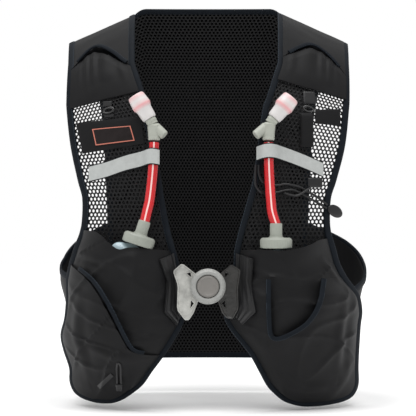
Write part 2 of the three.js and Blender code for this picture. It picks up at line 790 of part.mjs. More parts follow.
const FLASK_STAND = NET_WALL + LAYER_GAP + CAP_RADIUS; // flask axis in front of the body

function flaskAxis(side) {
  const { across, fall, lean } = CAP_PLACE[side];
  const foot = place(side, across, fall, FLASK_STAND);
  const turn = THREE.MathUtils.degToRad(lean);
  const up = new THREE.Vector3(Math.sin(turn), 0, Math.cos(turn));
  return { foot, up };
}

function cap(side) {
  const { foot, up } = flaskAxis(side);
  const profile = [
    [0, 0], [CAP_RADIUS - 1, 0], [CAP_RADIUS, 1], [CAP_RADIUS, CAP_HEIGHT - 2],
    [CAP_RADIUS - 2, CAP_HEIGHT], [NOZZLE_RADIUS + 1.5, CAP_HEIGHT], [NOZZLE_RADIUS, CAP_HEIGHT + 2],
    [NOZZLE_RADIUS - 0.6, CAP_HEIGHT + NOZZLE_HEIGHT - 1], [NOZZLE_RADIUS - 1.4, CAP_HEIGHT + NOZZLE_HEIGHT],
    [0, CAP_HEIGHT + NOZZLE_HEIGHT],
  ];
  const from = foot.clone().addScaledVector(up, -CAP_HEIGHT / 2);
  return turnedBetween(profile, 12, from, from.clone().add(up));
}

function flask(side) {
  const { foot, up } = flaskAxis(side);
  const neck = foot.clone().addScaledVector(up, -CAP_HEIGHT / 2 - FIT * 4);
  const shares = [
    [0, 0], [0.14, 0], [0.36, 0.03], [0.78, 0.08], [0.97, 0.16], [1, 0.35], [0.98, 0.65], [0.82, 0.88], [0.5, 1], [0, 1],
  ];
  const profile = shares.map(([r, h]) => [r * FLASK_HALF_WIDTH, -h * FLASK_LENGTH]).reverse();
  const body = turned(profile, 12);
  body.scale(1, 1, FLASK_HALF_DEPTH / FLASK_HALF_WIDTH);
  const { across: share, fall, bodyLean } = CAP_PLACE[side];
  const turn = THREE.MathUtils.degToRad(bodyLean);
  const leaning = new THREE.Vector3(Math.sin(turn), -FLASK_TILT, Math.cos(turn)).normalize();
  const inward = place(side, share, fall + FLASK_LENGTH / 2 / LENGTH, 0);
  inward.sub(place(side, share, fall + FLASK_LENGTH / 2 / LENGTH, 1));
  const across = leaning.clone().cross(inward).normalize();
  const upright = new THREE.Matrix4().makeBasis(across, leaning, across.clone().cross(leaning));
  body.applyMatrix4(upright);
  body.translate(neck.x, neck.y, neck.z);
  return body;
}

function valve(side) {
  const spots = VALVE[side];
  const stand = HOSE_ROUTE[side][0][2];
  const foot = place(side, ...spots.foot, stand);
  const bend = place(side, ...spots.bend, stand + 1.5);
  const tip = place(side, ...spots.tip, stand + 8);
  const knob = place(side, ...spots.knob, stand + 2);
  const stem = foot.distanceTo(bend);
  const elbow = turnedBetween([
    [0, 0], [ELBOW_RADIUS, 0], [ELBOW_RADIUS + 0.5, 2], [ELBOW_RADIUS + 0.5, stem * 0.5],
    [ELBOW_RADIUS + 1.2, stem], [0, stem + 3],
  ], 10, foot, bend);
  const arm = turnedBetween([
    [0, 0], [ELBOW_RADIUS - 1, 0], [ELBOW_RADIUS - 0.6, stem * 0.5], [0, stem * 1.05],
  ], 8, knob, bend);
  const joined = solid(facingOut(bare(elbow))).add(solid(facingOut(bare(arm))));
  const away = tip.clone().sub(bend).normalize();
  const seat = bend.clone().addScaledVector(away, ELBOW_RADIUS * 0.3);
  const socketSolid = turnedBetween([
    [0, 0], [ELBOW_RADIUS - 0.4, 0], [ELBOW_RADIUS - 0.2, 6.5], [0, 6.5],
  ], 8, seat, tip);
  const base = seat.clone().addScaledVector(away, 6.5 + FIT);
  const r = MOUTHPIECE_RADIUS;
  const mouthpiece = turnedBetween([
    [0, 0], [r * 0.7, 0], [r * 0.76, 2], [r * 0.82, MOUTHPIECE_LENGTH * 0.4],
    [r * 0.98, MOUTHPIECE_LENGTH * 0.54], [r, MOUTHPIECE_LENGTH * 0.6],
    [r * 0.93, MOUTHPIECE_LENGTH * 0.86], [r * 0.82, MOUTHPIECE_LENGTH], [0, MOUTHPIECE_LENGTH],
  ], 10, base, tip);
  return { elbow: fromSolid(joined.add(solid(facingOut(bare(socketSolid))))), mouthpiece };
}

for (const side of ['left', 'right']) {
  add(`strap_net_${side}`, strapNet(side), COLOURS.net);
  add(`front_binding_${side}`, frontBinding(side), COLOURS.tape);
  add(`shoulder_yoke_${side}`, shoulderYoke(side), COLOURS.cloth, 0.7);
  add(`shoulder_pocket_${side}`, shoulderPocket(side), COLOURS.cloth, 0.7);
  const pocket = (x, along) => pocketOut(side, x, along);
  const pocketLayer = layer(side, FLASK_POCKET_TOP[side], pocket, CLOTH_WALL, LAYER_COLUMNS, LAYER_PITCH);
  add(`flask_pocket_${side}`, pocketLayer, COLOURS.cloth, 0.7);
  const stash = (x, along) => stashOut(side, x, along);
  const stashLayer = layer(side, STASH_TOP[side], stash, CLOTH_WALL, LAYER_COLUMNS, LAYER_PITCH);
  const stashCut = side === 'left' ? stashLayer : scooped(stashLayer);
  add(`stash_pocket_${side}`, stashCut, COLOURS.cloth, 0.7);
  add(`hose_band_${side}`, hoseBand(side), COLOURS.band, 0.8);
  add(`hose_${side}`, hose(side), COLOURS.hose, 0.35);
  add(`flask_cap_${side}`, cap(side), COLOURS.cap, 0.5);
  add(`flask_${side}`, flask(side), COLOURS.flask, 0.3);
  const { elbow, mouthpiece } = valve(side);
  add(`valve_elbow_${side}`, elbow, COLOURS.elbow, 0.45);
  add(`mouthpiece_${side}`, mouthpiece, COLOURS.mouthpiece, 0.3);
}

// Back

function backPanel() {
  return bent(BACK_COLUMNS, BACK_STEPS, (u, v, h) => {
    const down = PANEL_INSET + (BACK_LENGTH - 2 * PANEL_INSET) * v;
    const half = backEdge(down / BACK_LENGTH) - PANEL_INSET;
    return back((u * 2 - 1) * half, down, h * BACK_WALL);
  });
}

// Path of a tape on the back, in mm across and mm down from the collar line

function edgePath(side, distance) {
  const path = [];
  const [from, to] = [PANEL_INSET, BACK_LENGTH - PANEL_INSET];
  for (let i = 0; i <= BACK_STEPS; i += 1) {
    const down = Math.max(from + (to - from) * i / BACK_STEPS, from + SEAM_START);
    path.push([SIGN[side] * (backEdge(down / BACK_LENGTH) - distance), down]);
  }
  return path;
}

function crossPath(down, panelDown) {
  const half = backEdge(panelDown / BACK_LENGTH) - PANEL_INSET;
  const end = backEdge(down / BACK_LENGTH);
  const path = [[-end, down]];
  for (let i = 0; i <= BACK_COLUMNS; i += 1) path.push([(i / BACK_COLUMNS * 2 - 1) * half, down]);
  path.push([end, down]);
  return path;
}

const backTapeLow = () => -TAPE_BACK;
const backTapeHigh = () => BACK_WALL + TAPE_BACK;

function backTape(path) {
  return tape(back, path, TAPE_WIDTH, backTapeLow, backTapeHigh);
}

// The side panels close the ribs between back and front. Their upper edge is the foot of the armhole:
// rise holds its fall as a share of LENGTH, from the back edge (0) to the front (1).
const SIDE_PANEL_TOP = {
  left: [[0, 0.535], [0.25, 0.58], [0.5, 0.628], [0.75, 0.655], [1, 0.667]],
  right: [[0, 0.535], [0.25, 0.582], [0.5, 0.635], [0.75, 0.678], [1, 0.703]],
};
const SIDE_PANEL_FOOT = 0.9;
const SIDE_TAKE_IN = 0.056; // how far a side panel lies in under the ribs, as a share of its reach
const SIDE_TAKE_START = 0.68;
const SIDE_TAKE_RUN = 0.08;
const BACK_SEAM_GAP = 0.6; // air between a side panel and the tape behind it
const FRONT_SEAM_GAP = 1.8; // air between a side panel and the tape in front of it

function ribPoint(side, u, fall, out) {
  const half = HALF_WIDTH + SIGN[side] * SIDE_SHIFT;
  const angleAt = (x) => Math.acos(Math.min(x / half, 0.9995) ** (ROUNDNESS / 2));
  const share = (fall * LENGTH + COLLAR_RISE) / BACK_LENGTH;
  const backRow = rowPlace(BACK_ROWS, 'down', share);
  const backDepth = rowValue(BACK_ROWS, 'depth', backRow) * DEPTH_BACK;
  const backHalf = half * rowValue(BACK_ROWS, 'wide', backRow);
  const edge = (backEdge(share) + BACK_SEAM_GAP) * half / backHalf;
  const outline = rowPlace(FRONT_ROWS[side], 'fall', fall);
  const outer = rowValue(FRONT_ROWS[side], 'outer', outline) * HALF_WIDTH + FRONT_SEAM_GAP;
  const strap = strapPlace(alongAt(SIGN[side] * outer, fall * LENGTH));
  const frontDepth = -rowValue(STRAP_ROWS, 'depth', strap) * DEPTH_FRONT;
  const [from, to] = [angleAt(edge), -angleAt(outer)];
  const below = Math.min(Math.max((fall - SIDE_TAKE_START) / SIDE_TAKE_RUN, 0), 1);
  const taken = 1 - SIDE_TAKE_IN * below * below * (3 - 2 * below) * 4 * u * (1 - u);
  const bareRib = (angle, down) => {
    const depth = angle > 0 ? backDepth : frontDepth;
    const reach = Math.abs(Math.sin(angle)) ** (2 / ROUNDNESS) * Math.sign(angle);
    const x = SIGN[side] * half * taken * Math.cos(angle) ** (2 / ROUNDNESS);
    return new THREE.Vector3(x, depth * reach, -down);
  };
  const angle = from + (to - from) * u;
  const at = bareRib(angle, fall * LENGTH);
  const ahead = bareRib(angle + 0.02, fall * LENGTH).sub(bareRib(angle - 0.02, fall * LENGTH));
  const normal = new THREE.Vector3(ahead.y, -ahead.x, 0).normalize();
  if (normal.x * SIGN[side] < 0) normal.negate();
  return at.addScaledVector(normal, out);
}

function sidePanel(side) {
  const lift = PANEL_INSET / LENGTH;
  return bent(8, 6, (u, v, h) => {
    const top = lineAt(SIDE_PANEL_TOP[side], u) + lift;
    return ribPoint(side, u, top + (SIDE_PANEL_FOOT - top) * v, h * NET_WALL);
  });
}

function sideTape(side) {
  return bent(8, 1, (u, v, h) => {
    const fall = lineAt(SIDE_PANEL_TOP[side], u) + v * TAPE_WIDTH / LENGTH;
    return ribPoint(side, u, fall, -TAPE_BACK + h * STRAP_TAPE_THICK);
  });
}

add('back_panel', backPanel(), COLOURS.net);
add('collar_binding', backTape(crossPath(TAPE_WIDTH / 2, PANEL_INSET)), COLOURS.tape);
add('hem_binding', backTape(crossPath(BACK_LENGTH - TAPE_WIDTH / 2, BACK_LENGTH - PANEL_INSET)), COLOURS.tape);
for (const side of ['left', 'right']) {
  const half = TAPE_WIDTH / 2;
  add(`armhole_binding_${side}`, backTape(edgePath(side, half)), COLOURS.tape);
  add(`side_panel_${side}`, sidePanel(side), COLOURS.net);
  add(`side_binding_${side}`, sideTape(side), COLOURS.tape);
}

// Bound mouths of the pockets

const stashLevel = (side) => (x, along) => stashOut(side, x, along);
add('stash_mouth_left', mouth('left', STASH_TOP.left, 0.42, 0.8, 10, stashLevel('left')), COLOURS.tape);

function scoopTape() {
  const lift = MOUTH_TAPE_WIDTH / 2 + LAYER_GAP * 2 + FIT;
  const top = STASH_TOP.right[0][1];
  const rim = STASH_SCOOP.map(([x, fall]) => [x * HALF_WIDTH, Math.max(fall, top) * LENGTH]);
  const seen = denser(rim, 9);
  const level = stashLevel('right');
  const path = inset(seen, -lift).map(([x, fall]) => aim(x, fall, level));
  const low = (x, along) => level(x, along) - (MOUTH_TAPE_THICK - CLOTH_WALL) / 2;
  const high = (x, along) => low(x, along) + MOUTH_TAPE_THICK;
  return tape(front, path, MOUTH_TAPE_WIDTH, low, high);
}

add('stash_mouth_right', scoopTape(), COLOURS.tape);
for (const side of ['left', 'right']) {
  const span = SPAN[side];
  const level = (x, along) => {
    const inner = lineAt(span.inner, along);
    const share = (x - inner) / (lineAt(span.outer, along) - inner);
    return POCKET_BASE + SHOULDER_BULGE * Math.sin(Math.min(Math.max(share, 0), 1) * Math.PI);
  };
  const lift = mouth(side, SHOULDER_POCKET_TOP[side], 0.53, 0.85, 10, level);
  add(`shoulder_mouth_${side}`, lift, COLOURS.tape);
}

// Buckle: two base strips on the fronts, two wings, and the ring with its button

const BASE_STRIP = {
  left: [[0.216, 0.62], [0.3, 0.635], [0.187, 0.79], [0.273, 0.765]],
  right: [[0.175, 0.615], [0.25, 0.63], [0.19, 0.785], [0.279, 0.762]],
};
const WING_OUTLINE = {
  left: [
    [-0.3, 0.32], [-0.735, 0.66], [-1, 0.43], [-0.86, 0.03], [-0.885, -0.66], [-0.66, -0.96], [-0.54, -0.96],
    [-0.4, -0.75], [-0.24, -0.32],
  ],
  right: [
    [0.24, -0.32], [0.4, -0.75], [0.52, -0.9], [0.7, -0.93], [0.87, -0.64], [0.85, -0.05], [0.93, 0.46],
    [0.66, 0.63], [0.3, 0.32],
  ],
};
const WING_HOLES = [[[0.5, 0.4], [0.6, 0.36], [0.47, 0.26]], [[0.48, -0.4], [0.4, -0.48], [0.5, -0.62]]];

function surfaceTop(side, x, along) {
  const cloth = side === 'left' ? pocketOut : stashOut;
  const onPocket = cloth(side, x, along) + CLOTH_WALL;
  return Math.max(onPocket, POCKET_TAPE_THICK - TAPE_BACK) + LAYER_GAP + FIT;
}

function baseStrip(side) {
  const spots = BASE_STRIP[side].map(([share, fall]) => {
    const x = SIGN[side] * share * HALF_WIDTH;
    return [x, alongAt(x, fall * LENGTH)];
  });
  const mixed = (k, u, v) => (spots[0][k] * (1 - u) + spots[1][k] * u) * (1 - v)
    + (spots[2][k] * (1 - u) + spots[3][k] * u) * v;
  return bent(3, 6, (u, v, h) => {
    const [x, along] = [mixed(0, u, v), mixed(1, u, v)];
    return front(x, along, surfaceTop(side, x, along) + h * BASE_THICK);
  });
}

const BUCKLE_STAND = POCKET_TAPE_THICK + BASE_THICK + 8;
const WING_BACK = front(0, alongAt(0, BUCKLE_FALL), BUCKLE_STAND).y;

function facingFront(geometry, back) {
  geometry.rotateX(Math.PI / 2);
  geometry.translate(0, back, -BUCKLE_FALL);
  return geometry;
}

function wing(side) {
  const outline = WING_OUTLINE[side].map(([x, z]) => new THREE.Vector2(x * WING_REACH, z * WING_REACH));
  const shape = new THREE.Shape(outline);
  for (const hole of WING_HOLES) {
    const turnedHole = hole.map(([x, z]) => new THREE.Vector2(x * SIGN[side] * WING_REACH, z * WING_REACH));
    shape.holes.push(new THREE.Path(turnedHole));
  }
  return facingFront(new THREE.ExtrudeGeometry(shape, { depth: WING_THICK, bevelEnabled: false }), WING_BACK);
}

function ring() {
  const hole = BUTTON_RADIUS + FIT * 2;
  const profile = [
    [hole, 0], [RING_RADIUS - 0.8, 0], [RING_RADIUS, 1], [RING_RADIUS, RING_THICK - 2.5],
    [RING_RADIUS - 2.5, RING_THICK], [hole + 1.5, RING_THICK], [hole, RING_THICK - 1.5], [hole, 0],
  ];
  return turned(profile, 20);
}

function onBuckle(geometry, stand) {
  geometry.rotateX(Math.PI);
  geometry.translate(0, WING_BACK - stand, -BUCKLE_FALL);
  return geometry;
}

for (const side of ['left', 'right']) {
  add(`buckle_base_${side}`, baseStrip(side), COLOURS.rubber, 0.6);
  add(`buckle_wing_${side}`, wing(side), side === 'left' ? COLOURS.wing : COLOURS.dark, 0.4);
}
add('buckle_ring', onBuckle(ring(), WING_THICK + FIT), COLOURS.ring, 0.35);
const buttonProfile = [
  [0, 0], [BUTTON_RADIUS, 0], [BUTTON_RADIUS, RING_THICK - 1.5], [BUTTON_RADIUS - 1.5, RING_THICK - 0.4],
  [BUTTON_RADIUS - 4, RING_THICK - 1], [0, RING_THICK - 1.4],
];
add('buckle_button', onBuckle(turned(buttonProfile, 16), WING_THICK + FIT), COLOURS.button, 0.4);

// Trim on the straps. Corners are [across, fall] in shares, the upper two first.

const TRIM_LOW = NET_WALL + FIT;
const TRIM = [
  ['patch_panel_left', 'left', [[0.43, 0.264], [0.845, 0.277], [0.4, 0.333], [0.8, 0.356]], 1.1, 5, 3],
  ['keeper_strap_left', 'left', [[0.614, 0.2225], [0.672, 0.2225], [0.614, 0.236], [0.672, 0.236]], 1.6, 1, 1],
  ['keeper_tab_left', 'left', [[0.6, 0.2565], [0.66, 0.2565], [0.6, 0.263], [0.66, 0.2645]], 1.6, 1, 1],
  ['keeper_strap_right', 'right', [[0.61, 0.199], [0.68, 0.199], [0.61, 0.229], [0.686, 0.229]], 1.6, 1, 1],
  ['pole_sleeve_right', 'right', [[0.592, 0.256], [0.66, 0.256], [0.592, 0.34], [0.66, 0.34]], 3.4, 2, 3],
  ['patch_right', 'right', [[0.682, 0.246], [0.845, 0.242], [0.682, 0.28], [0.845, 0.285]], 1.1, 3, 1],
  ['webbing_tab_right', 'right', [[0.634, 0.421], [0.72, 0.421], [0.634, 0.442], [0.72, 0.442]], 2.1, 1, 1],
];
for (const [name, side, corners, thick, across, down] of TRIM) {
  add(name, patch(side, corners, TRIM_LOW, TRIM_LOW + thick, across, down), COLOURS.rubber);
}
const plate = [[0.49, 0.287], [0.735, 0.294], [0.462, 0.325], [0.71, 0.336]];
const plateLow = TRIM_LOW + 1.1 + FIT;
add('patch_plate_left', patch('left', plate, plateLow, plateLow + 0.8, 3, 2), COLOURS.plate, 0.8);

// A flat oval ring that joins the keeper strap to its tab
const RING_PLACE = { left: [0.634, 0.246], right: [0.641, 0.2425] };
for (const side of ['left', 'right']) {
  const link = bare(new THREE.TorusGeometry(1, 0.24, 5, 12));
  const [x, along] = aim(SIGN[side] * RING_PLACE[side][0] * HALF_WIDTH, RING_PLACE[side][1] * LENGTH, TRIM_LOW);
  const p = link.attributes.position;
  for (let i = 0; i < p.count; i += 1) {
    const out = TRIM_LOW + RING_WIRE * 1.2 + p.getZ(i) / 0.24 * RING_WIRE;
    const spot = front(x + p.getX(i) * RING_HALF_WIDTH, along + p.getY(i) * RING_HALF_HEIGHT, out);
    p.setXYZ(i, spot.x, spot.y, spot.z);
  }
  facingOut(link);
  add(`keeper_ring_${side}`, link, COLOURS.dark, 0.2);
}

// Elastic cords that hold poles, each a whole loop sewn down at its ends. Points are [across, fall, out],
// in shares and mm.

const BUNGEE_RIGHT = [
  [0.302, 0.386, 4.8], [0.3, 0.41, 4.8], [0.302, 0.439, 4.8], [0.331, 0.454, 4.6], [0.362, 0.457, 3.3],
  [0.43, 0.4555, 3.2], [0.483, 0.451, 3.2], [0.534, 0.449, 3.2], [0.576, 0.4555, 3.3], [0.611, 0.463, 3.3],
  [0.658, 0.473, 3.4], [0.72, 0.487, 4.2], [0.757, 0.496, 4.8],
];
const BUNGEE_UPPER = [
  [0.76, 0.4875, 5], [0.735, 0.4795, 4.6], [0.693, 0.4665, 3.6], [0.639, 0.455, 3.3], [0.591, 0.4435, 3.2],
  [0.54, 0.4375, 3.2], [0.49, 0.4345, 3.2], [0.432, 0.4375, 3.2], [0.37, 0.433, 3.3], [0.342, 0.427, 4.6],
  [0.322, 0.41, 4.8], [0.32, 0.386, 4.8],
];
const BUNGEE_HOOK = [
  [0.483, 0.4575, 6], [0.52, 0.462, 6.2], [0.56, 0.464, 6.4], [0.6, 0.457, 6.4], [0.635, 0.4475, 5.6],
  [0.652, 0.4445, 4.4],
];

function cord(side, route, steps) {
  return tube(route.map(([across, fall, out]) => place(side, across, fall, out)), CORD_RADIUS, 5, steps);
}

add('bungee_lower_right', cord('right', BUNGEE_RIGHT, 16), COLOURS.rubber, 0.7);
add('bungee_upper_right', cord('right', BUNGEE_UPPER, 15), COLOURS.rubber, 0.7);
add('bungee_hook_right', cord('right', BUNGEE_HOOK, 9), COLOURS.rubber, 0.7);

const PULL_TAB = { at: [0.808, 0.504], halfLength: 8.6, halfWidth: 6, thick: 2.6, tilt: 38 };

function pullTab() {
  const { at, halfLength, halfWidth, thick, tilt } = PULL_TAB;
  const profile = [[0, 0], [0.92, 0], [1, 0.25], [1, 0.75], [0.92, 1], [0, 1]];
  const tab = turned(profile, 14);
  tab.scale(halfLength, thick, halfWidth);
  tab.rotateY(THREE.MathUtils.degToRad(-tilt));
  const base = bare(tab);
  const [x, along] = aim(at[0] * HALF_WIDTH, at[1] * LENGTH, STRAP_TAPE_THICK);
  const p = base.attributes.position;
  for (let i = 0; i < p.count; i += 1) {
    const spot = front(x + p.getX(i), along + p.getZ(i), STRAP_TAPE_THICK + FIT + p.getY(i));
    p.setXYZ(i, spot.x, spot.y, spot.z);
  }
  return facingOut(base);
}

add('bungee_pull_right', pullTab(), COLOURS.rubber, 0.6);

// Lower left pole holder: two cords, the lock that they run through, and a pull tab, all on the stash pocket

const onStash = (side, stand) => (x, along) => stashOut(side, x, along) + CLOTH_WALL + stand;

function stashCord(points) {
  const stand = onStash('left', CORD_RADIUS + FIT * 2);
  const spots = points.map(([across, fall]) => place('left', across, fall, stand));
  return tube(spots, CORD_RADIUS, 5, 12);
}

const LEFT_LOOP = [
  [0.57, 0.936], [0.571, 0.915], [0.57, 0.895], [0.564, 0.884], [0.552, 0.884], [0.546, 0.895], [0.547, 0.915],
  [0.546, 0.936],
];
add('bungee_left', stashCord(LEFT_LOOP), COLOURS.rubber);

function onStashPlate(corners, low, high, across, down) {
  const mixed = (k, u, v) => (corners[0][k] * (1 - u) + corners[1][k] * u) * (1 - v)
    + (corners[2][k] * (1 - u) + corners[3][k] * u) * v;
  return bent(across, down, (u, v, h) => {
    const foot = onStash('left', low);
    const [x, along] = aim(-mixed(0, u, v) * HALF_WIDTH, mixed(1, u, v) * LENGTH, foot);
    return front(x, along, foot(x, along) + (high - low) * h);
  });
}

const LOCK = [[0.538, 0.939], [0.582, 0.939], [0.542, 0.957], [0.578, 0.957]];
add('cord_lock_left', onStashPlate(LOCK, FIT, 5, 1, 1), COLOURS.rubber, 0.5);
const LEFT_TAB = [[0.593, 0.918], [0.612, 0.91], [0.683, 0.953], [0.702, 0.945]];
add('bungee_pull_left', onStashPlate(LEFT_TAB, FIT * 2, 2.6, 1, 1), COLOURS.rubber, 0.6);

export default vest;
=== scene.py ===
import math

import bmesh
import bpy
from bpy.props import FloatProperty, FloatVectorProperty, IntProperty, PointerProperty
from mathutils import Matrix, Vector, noise


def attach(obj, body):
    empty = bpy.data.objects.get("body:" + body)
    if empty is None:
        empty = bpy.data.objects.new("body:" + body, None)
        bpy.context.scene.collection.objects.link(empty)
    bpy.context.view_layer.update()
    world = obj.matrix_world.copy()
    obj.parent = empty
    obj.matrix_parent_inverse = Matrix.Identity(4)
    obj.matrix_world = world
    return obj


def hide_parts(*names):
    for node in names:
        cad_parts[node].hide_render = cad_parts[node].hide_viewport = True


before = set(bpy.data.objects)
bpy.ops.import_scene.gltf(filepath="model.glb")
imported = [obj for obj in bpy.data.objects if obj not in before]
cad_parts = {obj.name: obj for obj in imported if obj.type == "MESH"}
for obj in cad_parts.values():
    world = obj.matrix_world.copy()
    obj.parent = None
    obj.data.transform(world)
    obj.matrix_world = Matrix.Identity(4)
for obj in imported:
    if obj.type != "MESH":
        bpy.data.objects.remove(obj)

bl_info = {
    "name": "Running Hydration Vest",
    "version": (1, 0, 0),
    "blender": (4, 2, 0),
    "location": "3D View > Sidebar > Vest",
    "description": "Builds a running hydration vest with two soft flasks, held open as on a body",
    "category": "Object",
}

# Sizes are in millimetres and turned into metres where a vertex is placed
MM = 0.001
MERGE = 2e-6  # vertices closer than this are one, in metres
SIDES = ("left", "right")
SIGN = {"left": -1, "right": 1}

# Body that the vest is shaped on
LENGTH = 414.0
HALF_WIDTH = 165.5
SIDE_SHIFT = 5.5
DEPTH_FRONT = 112.0
DEPTH_BACK = 106.0
SHOULDER_DROP = 36.0
NECK_HALF = 72.0
SHOULDER_RUN = 78.0
COLLAR_RISE = 21.0
COLLAR_EASE = 30.0
HEM_DROP = LENGTH * 0.911
BACK_LENGTH = COLLAR_RISE + HEM_DROP
ROUNDNESS = 2.4

# Cloth, nets and tapes
NET_WALL = 1.6
CLOTH_WALL = 1.0
BACK_WALL = 2.6
LAYER_GAP = 0.8
FIT = 0.3
STRAP_NET_WIDTH = 92.0
STRAP_COARSENESS = 1.25  # cells of the straps' net over those of the back's
BACK_NET_WIDTH = 236.0
BACK_NET_THICK = 1.2
BACK_LINING_OUT = 1.5
BACK_CLOTH_OUT = 2.3
SEAM_START = 2.2
TAPE_GAP = 0.9
TAPE_WIDTH = 6.6
TAPE_BACK = 0.3
TUCK = 2.6  # how far a panel runs in under its tape
STRAP_TAPE_THICK = 3.2
POCKET_TAPE_THICK = 5.7
MOUTH_TAPE_WIDTH = 3.8
MOUTH_TAPE_THICK = 1.8
POCKET_BULGE = 32.0
POCKET_RUN = 95.0  # from the foot of a pocket up to its full bulge
STASH_BULGE = 7.0
STASH_RUN = 60.0
SHOULDER_BULGE = 4.0
FOLD_FADE = 14.0  # folds grow from nothing over this distance from a sewn edge
GAPE_SHADE = 0.11  # painted shade: how far down a shoulder pocket the dark lining colour is laid under its hood, as a share of its height

# Hoses, flasks and valves
HOSE_RADIUS = 5.2
FLASK_HALF_WIDTH = 28.0
FLASK_HALF_DEPTH = 10.5
FLASK_LENGTH = 112.0
FLASK_TILT = 0.07
CAP_RADIUS = 16.6
CAP_HEIGHT = 11.0
NOZZLE_RADIUS = 6.4
NOZZLE_HEIGHT = 15.0
ELBOW_RADIUS = 6.0
ELBOW_NECK = 6.5
MOUTHPIECE_RADIUS = 10.2
MOUTHPIECE_LENGTH = 29.0

# Buckle
BUCKLE_FALL = LENGTH * 0.691
RING_RADIUS = 18.4
RING_THICK = 7.0
RING_GRIPS = 24
BUTTON_RADIUS = 11.6
WING_REACH = HALF_WIDTH * 0.2205
WING_THICK = 3.2
BASE_THICK = 2.4
CORNER_CUT = 0.12  # share of each side that a wing's rounded corner takes

# Trim
TRIM_LOW = NET_WALL + FIT
CORD_RADIUS = 1.2
LOOP_WIRE = 1.2
LOOP_HALF_WIDTH = 5.2
LOOP_HALF_HEIGHT = 3.0
PATCH_THICK = 1.1
PULL_THICK = 2.6
PULL_HALF = (8.6, 6.0)
PULL_TURN = 38.0

# Stage, in metres and degrees
FLOOR_LEVEL = -0.4165
FLOOR_HALF = 3.0
SUN_AIM = (0.08, 0.2, -1.0)
SUN_ANGLE = 60.0
LENS = 173.1

# Rows down the straps: depth in shares of the body's depth, fall of its length, width of its half width
DEPTH, FALL, WIDE, SLOPE = range(4)
STRAP_ROWS = (
    (0.7, -0.022, 1.24, 1), (0.42, -0.034, 1.24, 1), (0.12, -0.018, 1.22, 1), (-0.16, 0.012, 1.2, 1),
    (-0.42, 0.062, 1.16, 0.9), (-0.63, 0.135, 1.12, 0.7), (-0.79, 0.235, 1.08, 0.4),
    (-0.89, 0.36, 1.04, 0.15), (-0.96, 0.51, 1.01, 0), (-1, 0.68, 1, 0), (-1, 0.84, 1, 0),
    (-0.96, 1.02, 1, 0),
)
# Rows down the back, as shares: down, depth, width, and the edge of the back panel
DOWN, BACK_DEPTH, BACK_WIDE, EDGE = range(4)
BACK_ROWS = (
    (0, 0.7, 1.24, 0.9), (0.1, 0.8, 1.2, 0.8), (0.2, 0.89, 1.15, 0.74), (0.32, 0.96, 1.09, 0.715),
    (0.46, 1, 1.04, 0.7), (0.6, 1.01, 1, 0.69), (0.74, 1, 1, 0.71), (0.87, 0.98, 1, 0.74), (1, 0.95, 1, 0.75),
)
# Outline of each front: fall, inner edge and outer edge
OUTLINE_FALL, INNER, OUTER = range(3)
FRONT_ROWS = {
    "left": (
        (0.122, 0.47, 0.914), (0.211, 0.397, 0.914), (0.245, 0.381, 0.91), (0.338, 0.334, 0.88),
        (0.424, 0.295, 0.832), (0.475, 0.275, 0.8), (0.551, 0.238, 0.81), (0.602, 0.203, 0.85),
        (0.64, 0.18, 0.88), (0.685, 0.171, 0.9), (0.733, 0.159, 0.9), (0.782, 0.152, 0.912),
        (0.825, 0.206, 0.94), (0.863, 0.266, 0.92), (0.908, 0.349, 0.878), (0.941, 0.406, 0.876),
        (0.967, 0.482, 0.85), (0.982, 0.54, 0.8), (0.991, 0.6, 0.72), (0.993, 0.66, 0.66),
    ),
    "right": (
        (0.122, 0.447, 0.921), (0.211, 0.375, 0.913), (0.245, 0.346, 0.906), (0.338, 0.314, 0.876),
        (0.424, 0.283, 0.819), (0.475, 0.248, 0.78), (0.551, 0.194, 0.777), (0.602, 0.165, 0.806),
        (0.64, 0.16, 0.834), (0.675, 0.155, 0.882), (0.7, 0.145, 0.93), (0.725, 0.125, 0.966),
        (0.765, 0.1, 0.982), (0.8, 0.135, 0.97), (0.863, 0.257, 0.959), (0.908, 0.32, 0.955),
        (0.945, 0.371, 0.957), (0.967, 0.422, 0.942), (0.984, 0.475, 0.905), (0.994, 0.54, 0.83),
        (0.999, 0.6, 0.72), (1, 0.66, 0.66),
    ),
}

# Upper edges of the layers and their mouths: across as a share of the half width, fall of the length
FLASK_POCKET_TOP = {
    "left": ((0.2, 0.612), (0.27, 0.602), (0.37, 0.598), (0.49, 0.594), (0.57, 0.597), (0.68, 0.561),
             (0.74, 0.553), (0.85, 0.553)),
    "right": ((0.16, 0.609), (0.235, 0.6), (0.45, 0.601), (0.535, 0.598), (0.6, 0.593), (0.66, 0.585),
              (0.717, 0.575), (0.86, 0.57)),
}
STASH_TOP = {
    "left": ((0.3, 0.864), (0.37, 0.862), (0.47, 0.85), (0.54, 0.805), (0.62, 0.74), (0.7, 0.69),
             (0.78, 0.66), (0.92, 0.63)),
    "right": ((0.1, 0.672), (1, 0.672)),
}
STASH_SCOOP = (
    (0.372, 0.6), (0.372, 0.745), (0.38, 0.8), (0.402, 0.8195), (0.45, 0.82), (0.53, 0.806), (0.615, 0.784),
    (0.677, 0.752), (0.712, 0.716), (0.729, 0.6),
)
SHOULDER_POCKET_TOP = {
    "left": ((0.46, 0.135), (0.54, 0.118), (0.62, 0.092), (0.7, 0.075), (0.76, 0.078), (0.82, 0.1),
             (0.92, 0.145)),
    "right": ((0.44, 0.115), (0.52, 0.096), (0.6, 0.078), (0.67, 0.07), (0.74, 0.082), (0.82, 0.112),
              (0.92, 0.165)),
}
YOKE_FOOT = {"left": 0.213, "right": 0.186}
YOKE_TOP = NET_WALL + LAYER_GAP + CLOTH_WALL

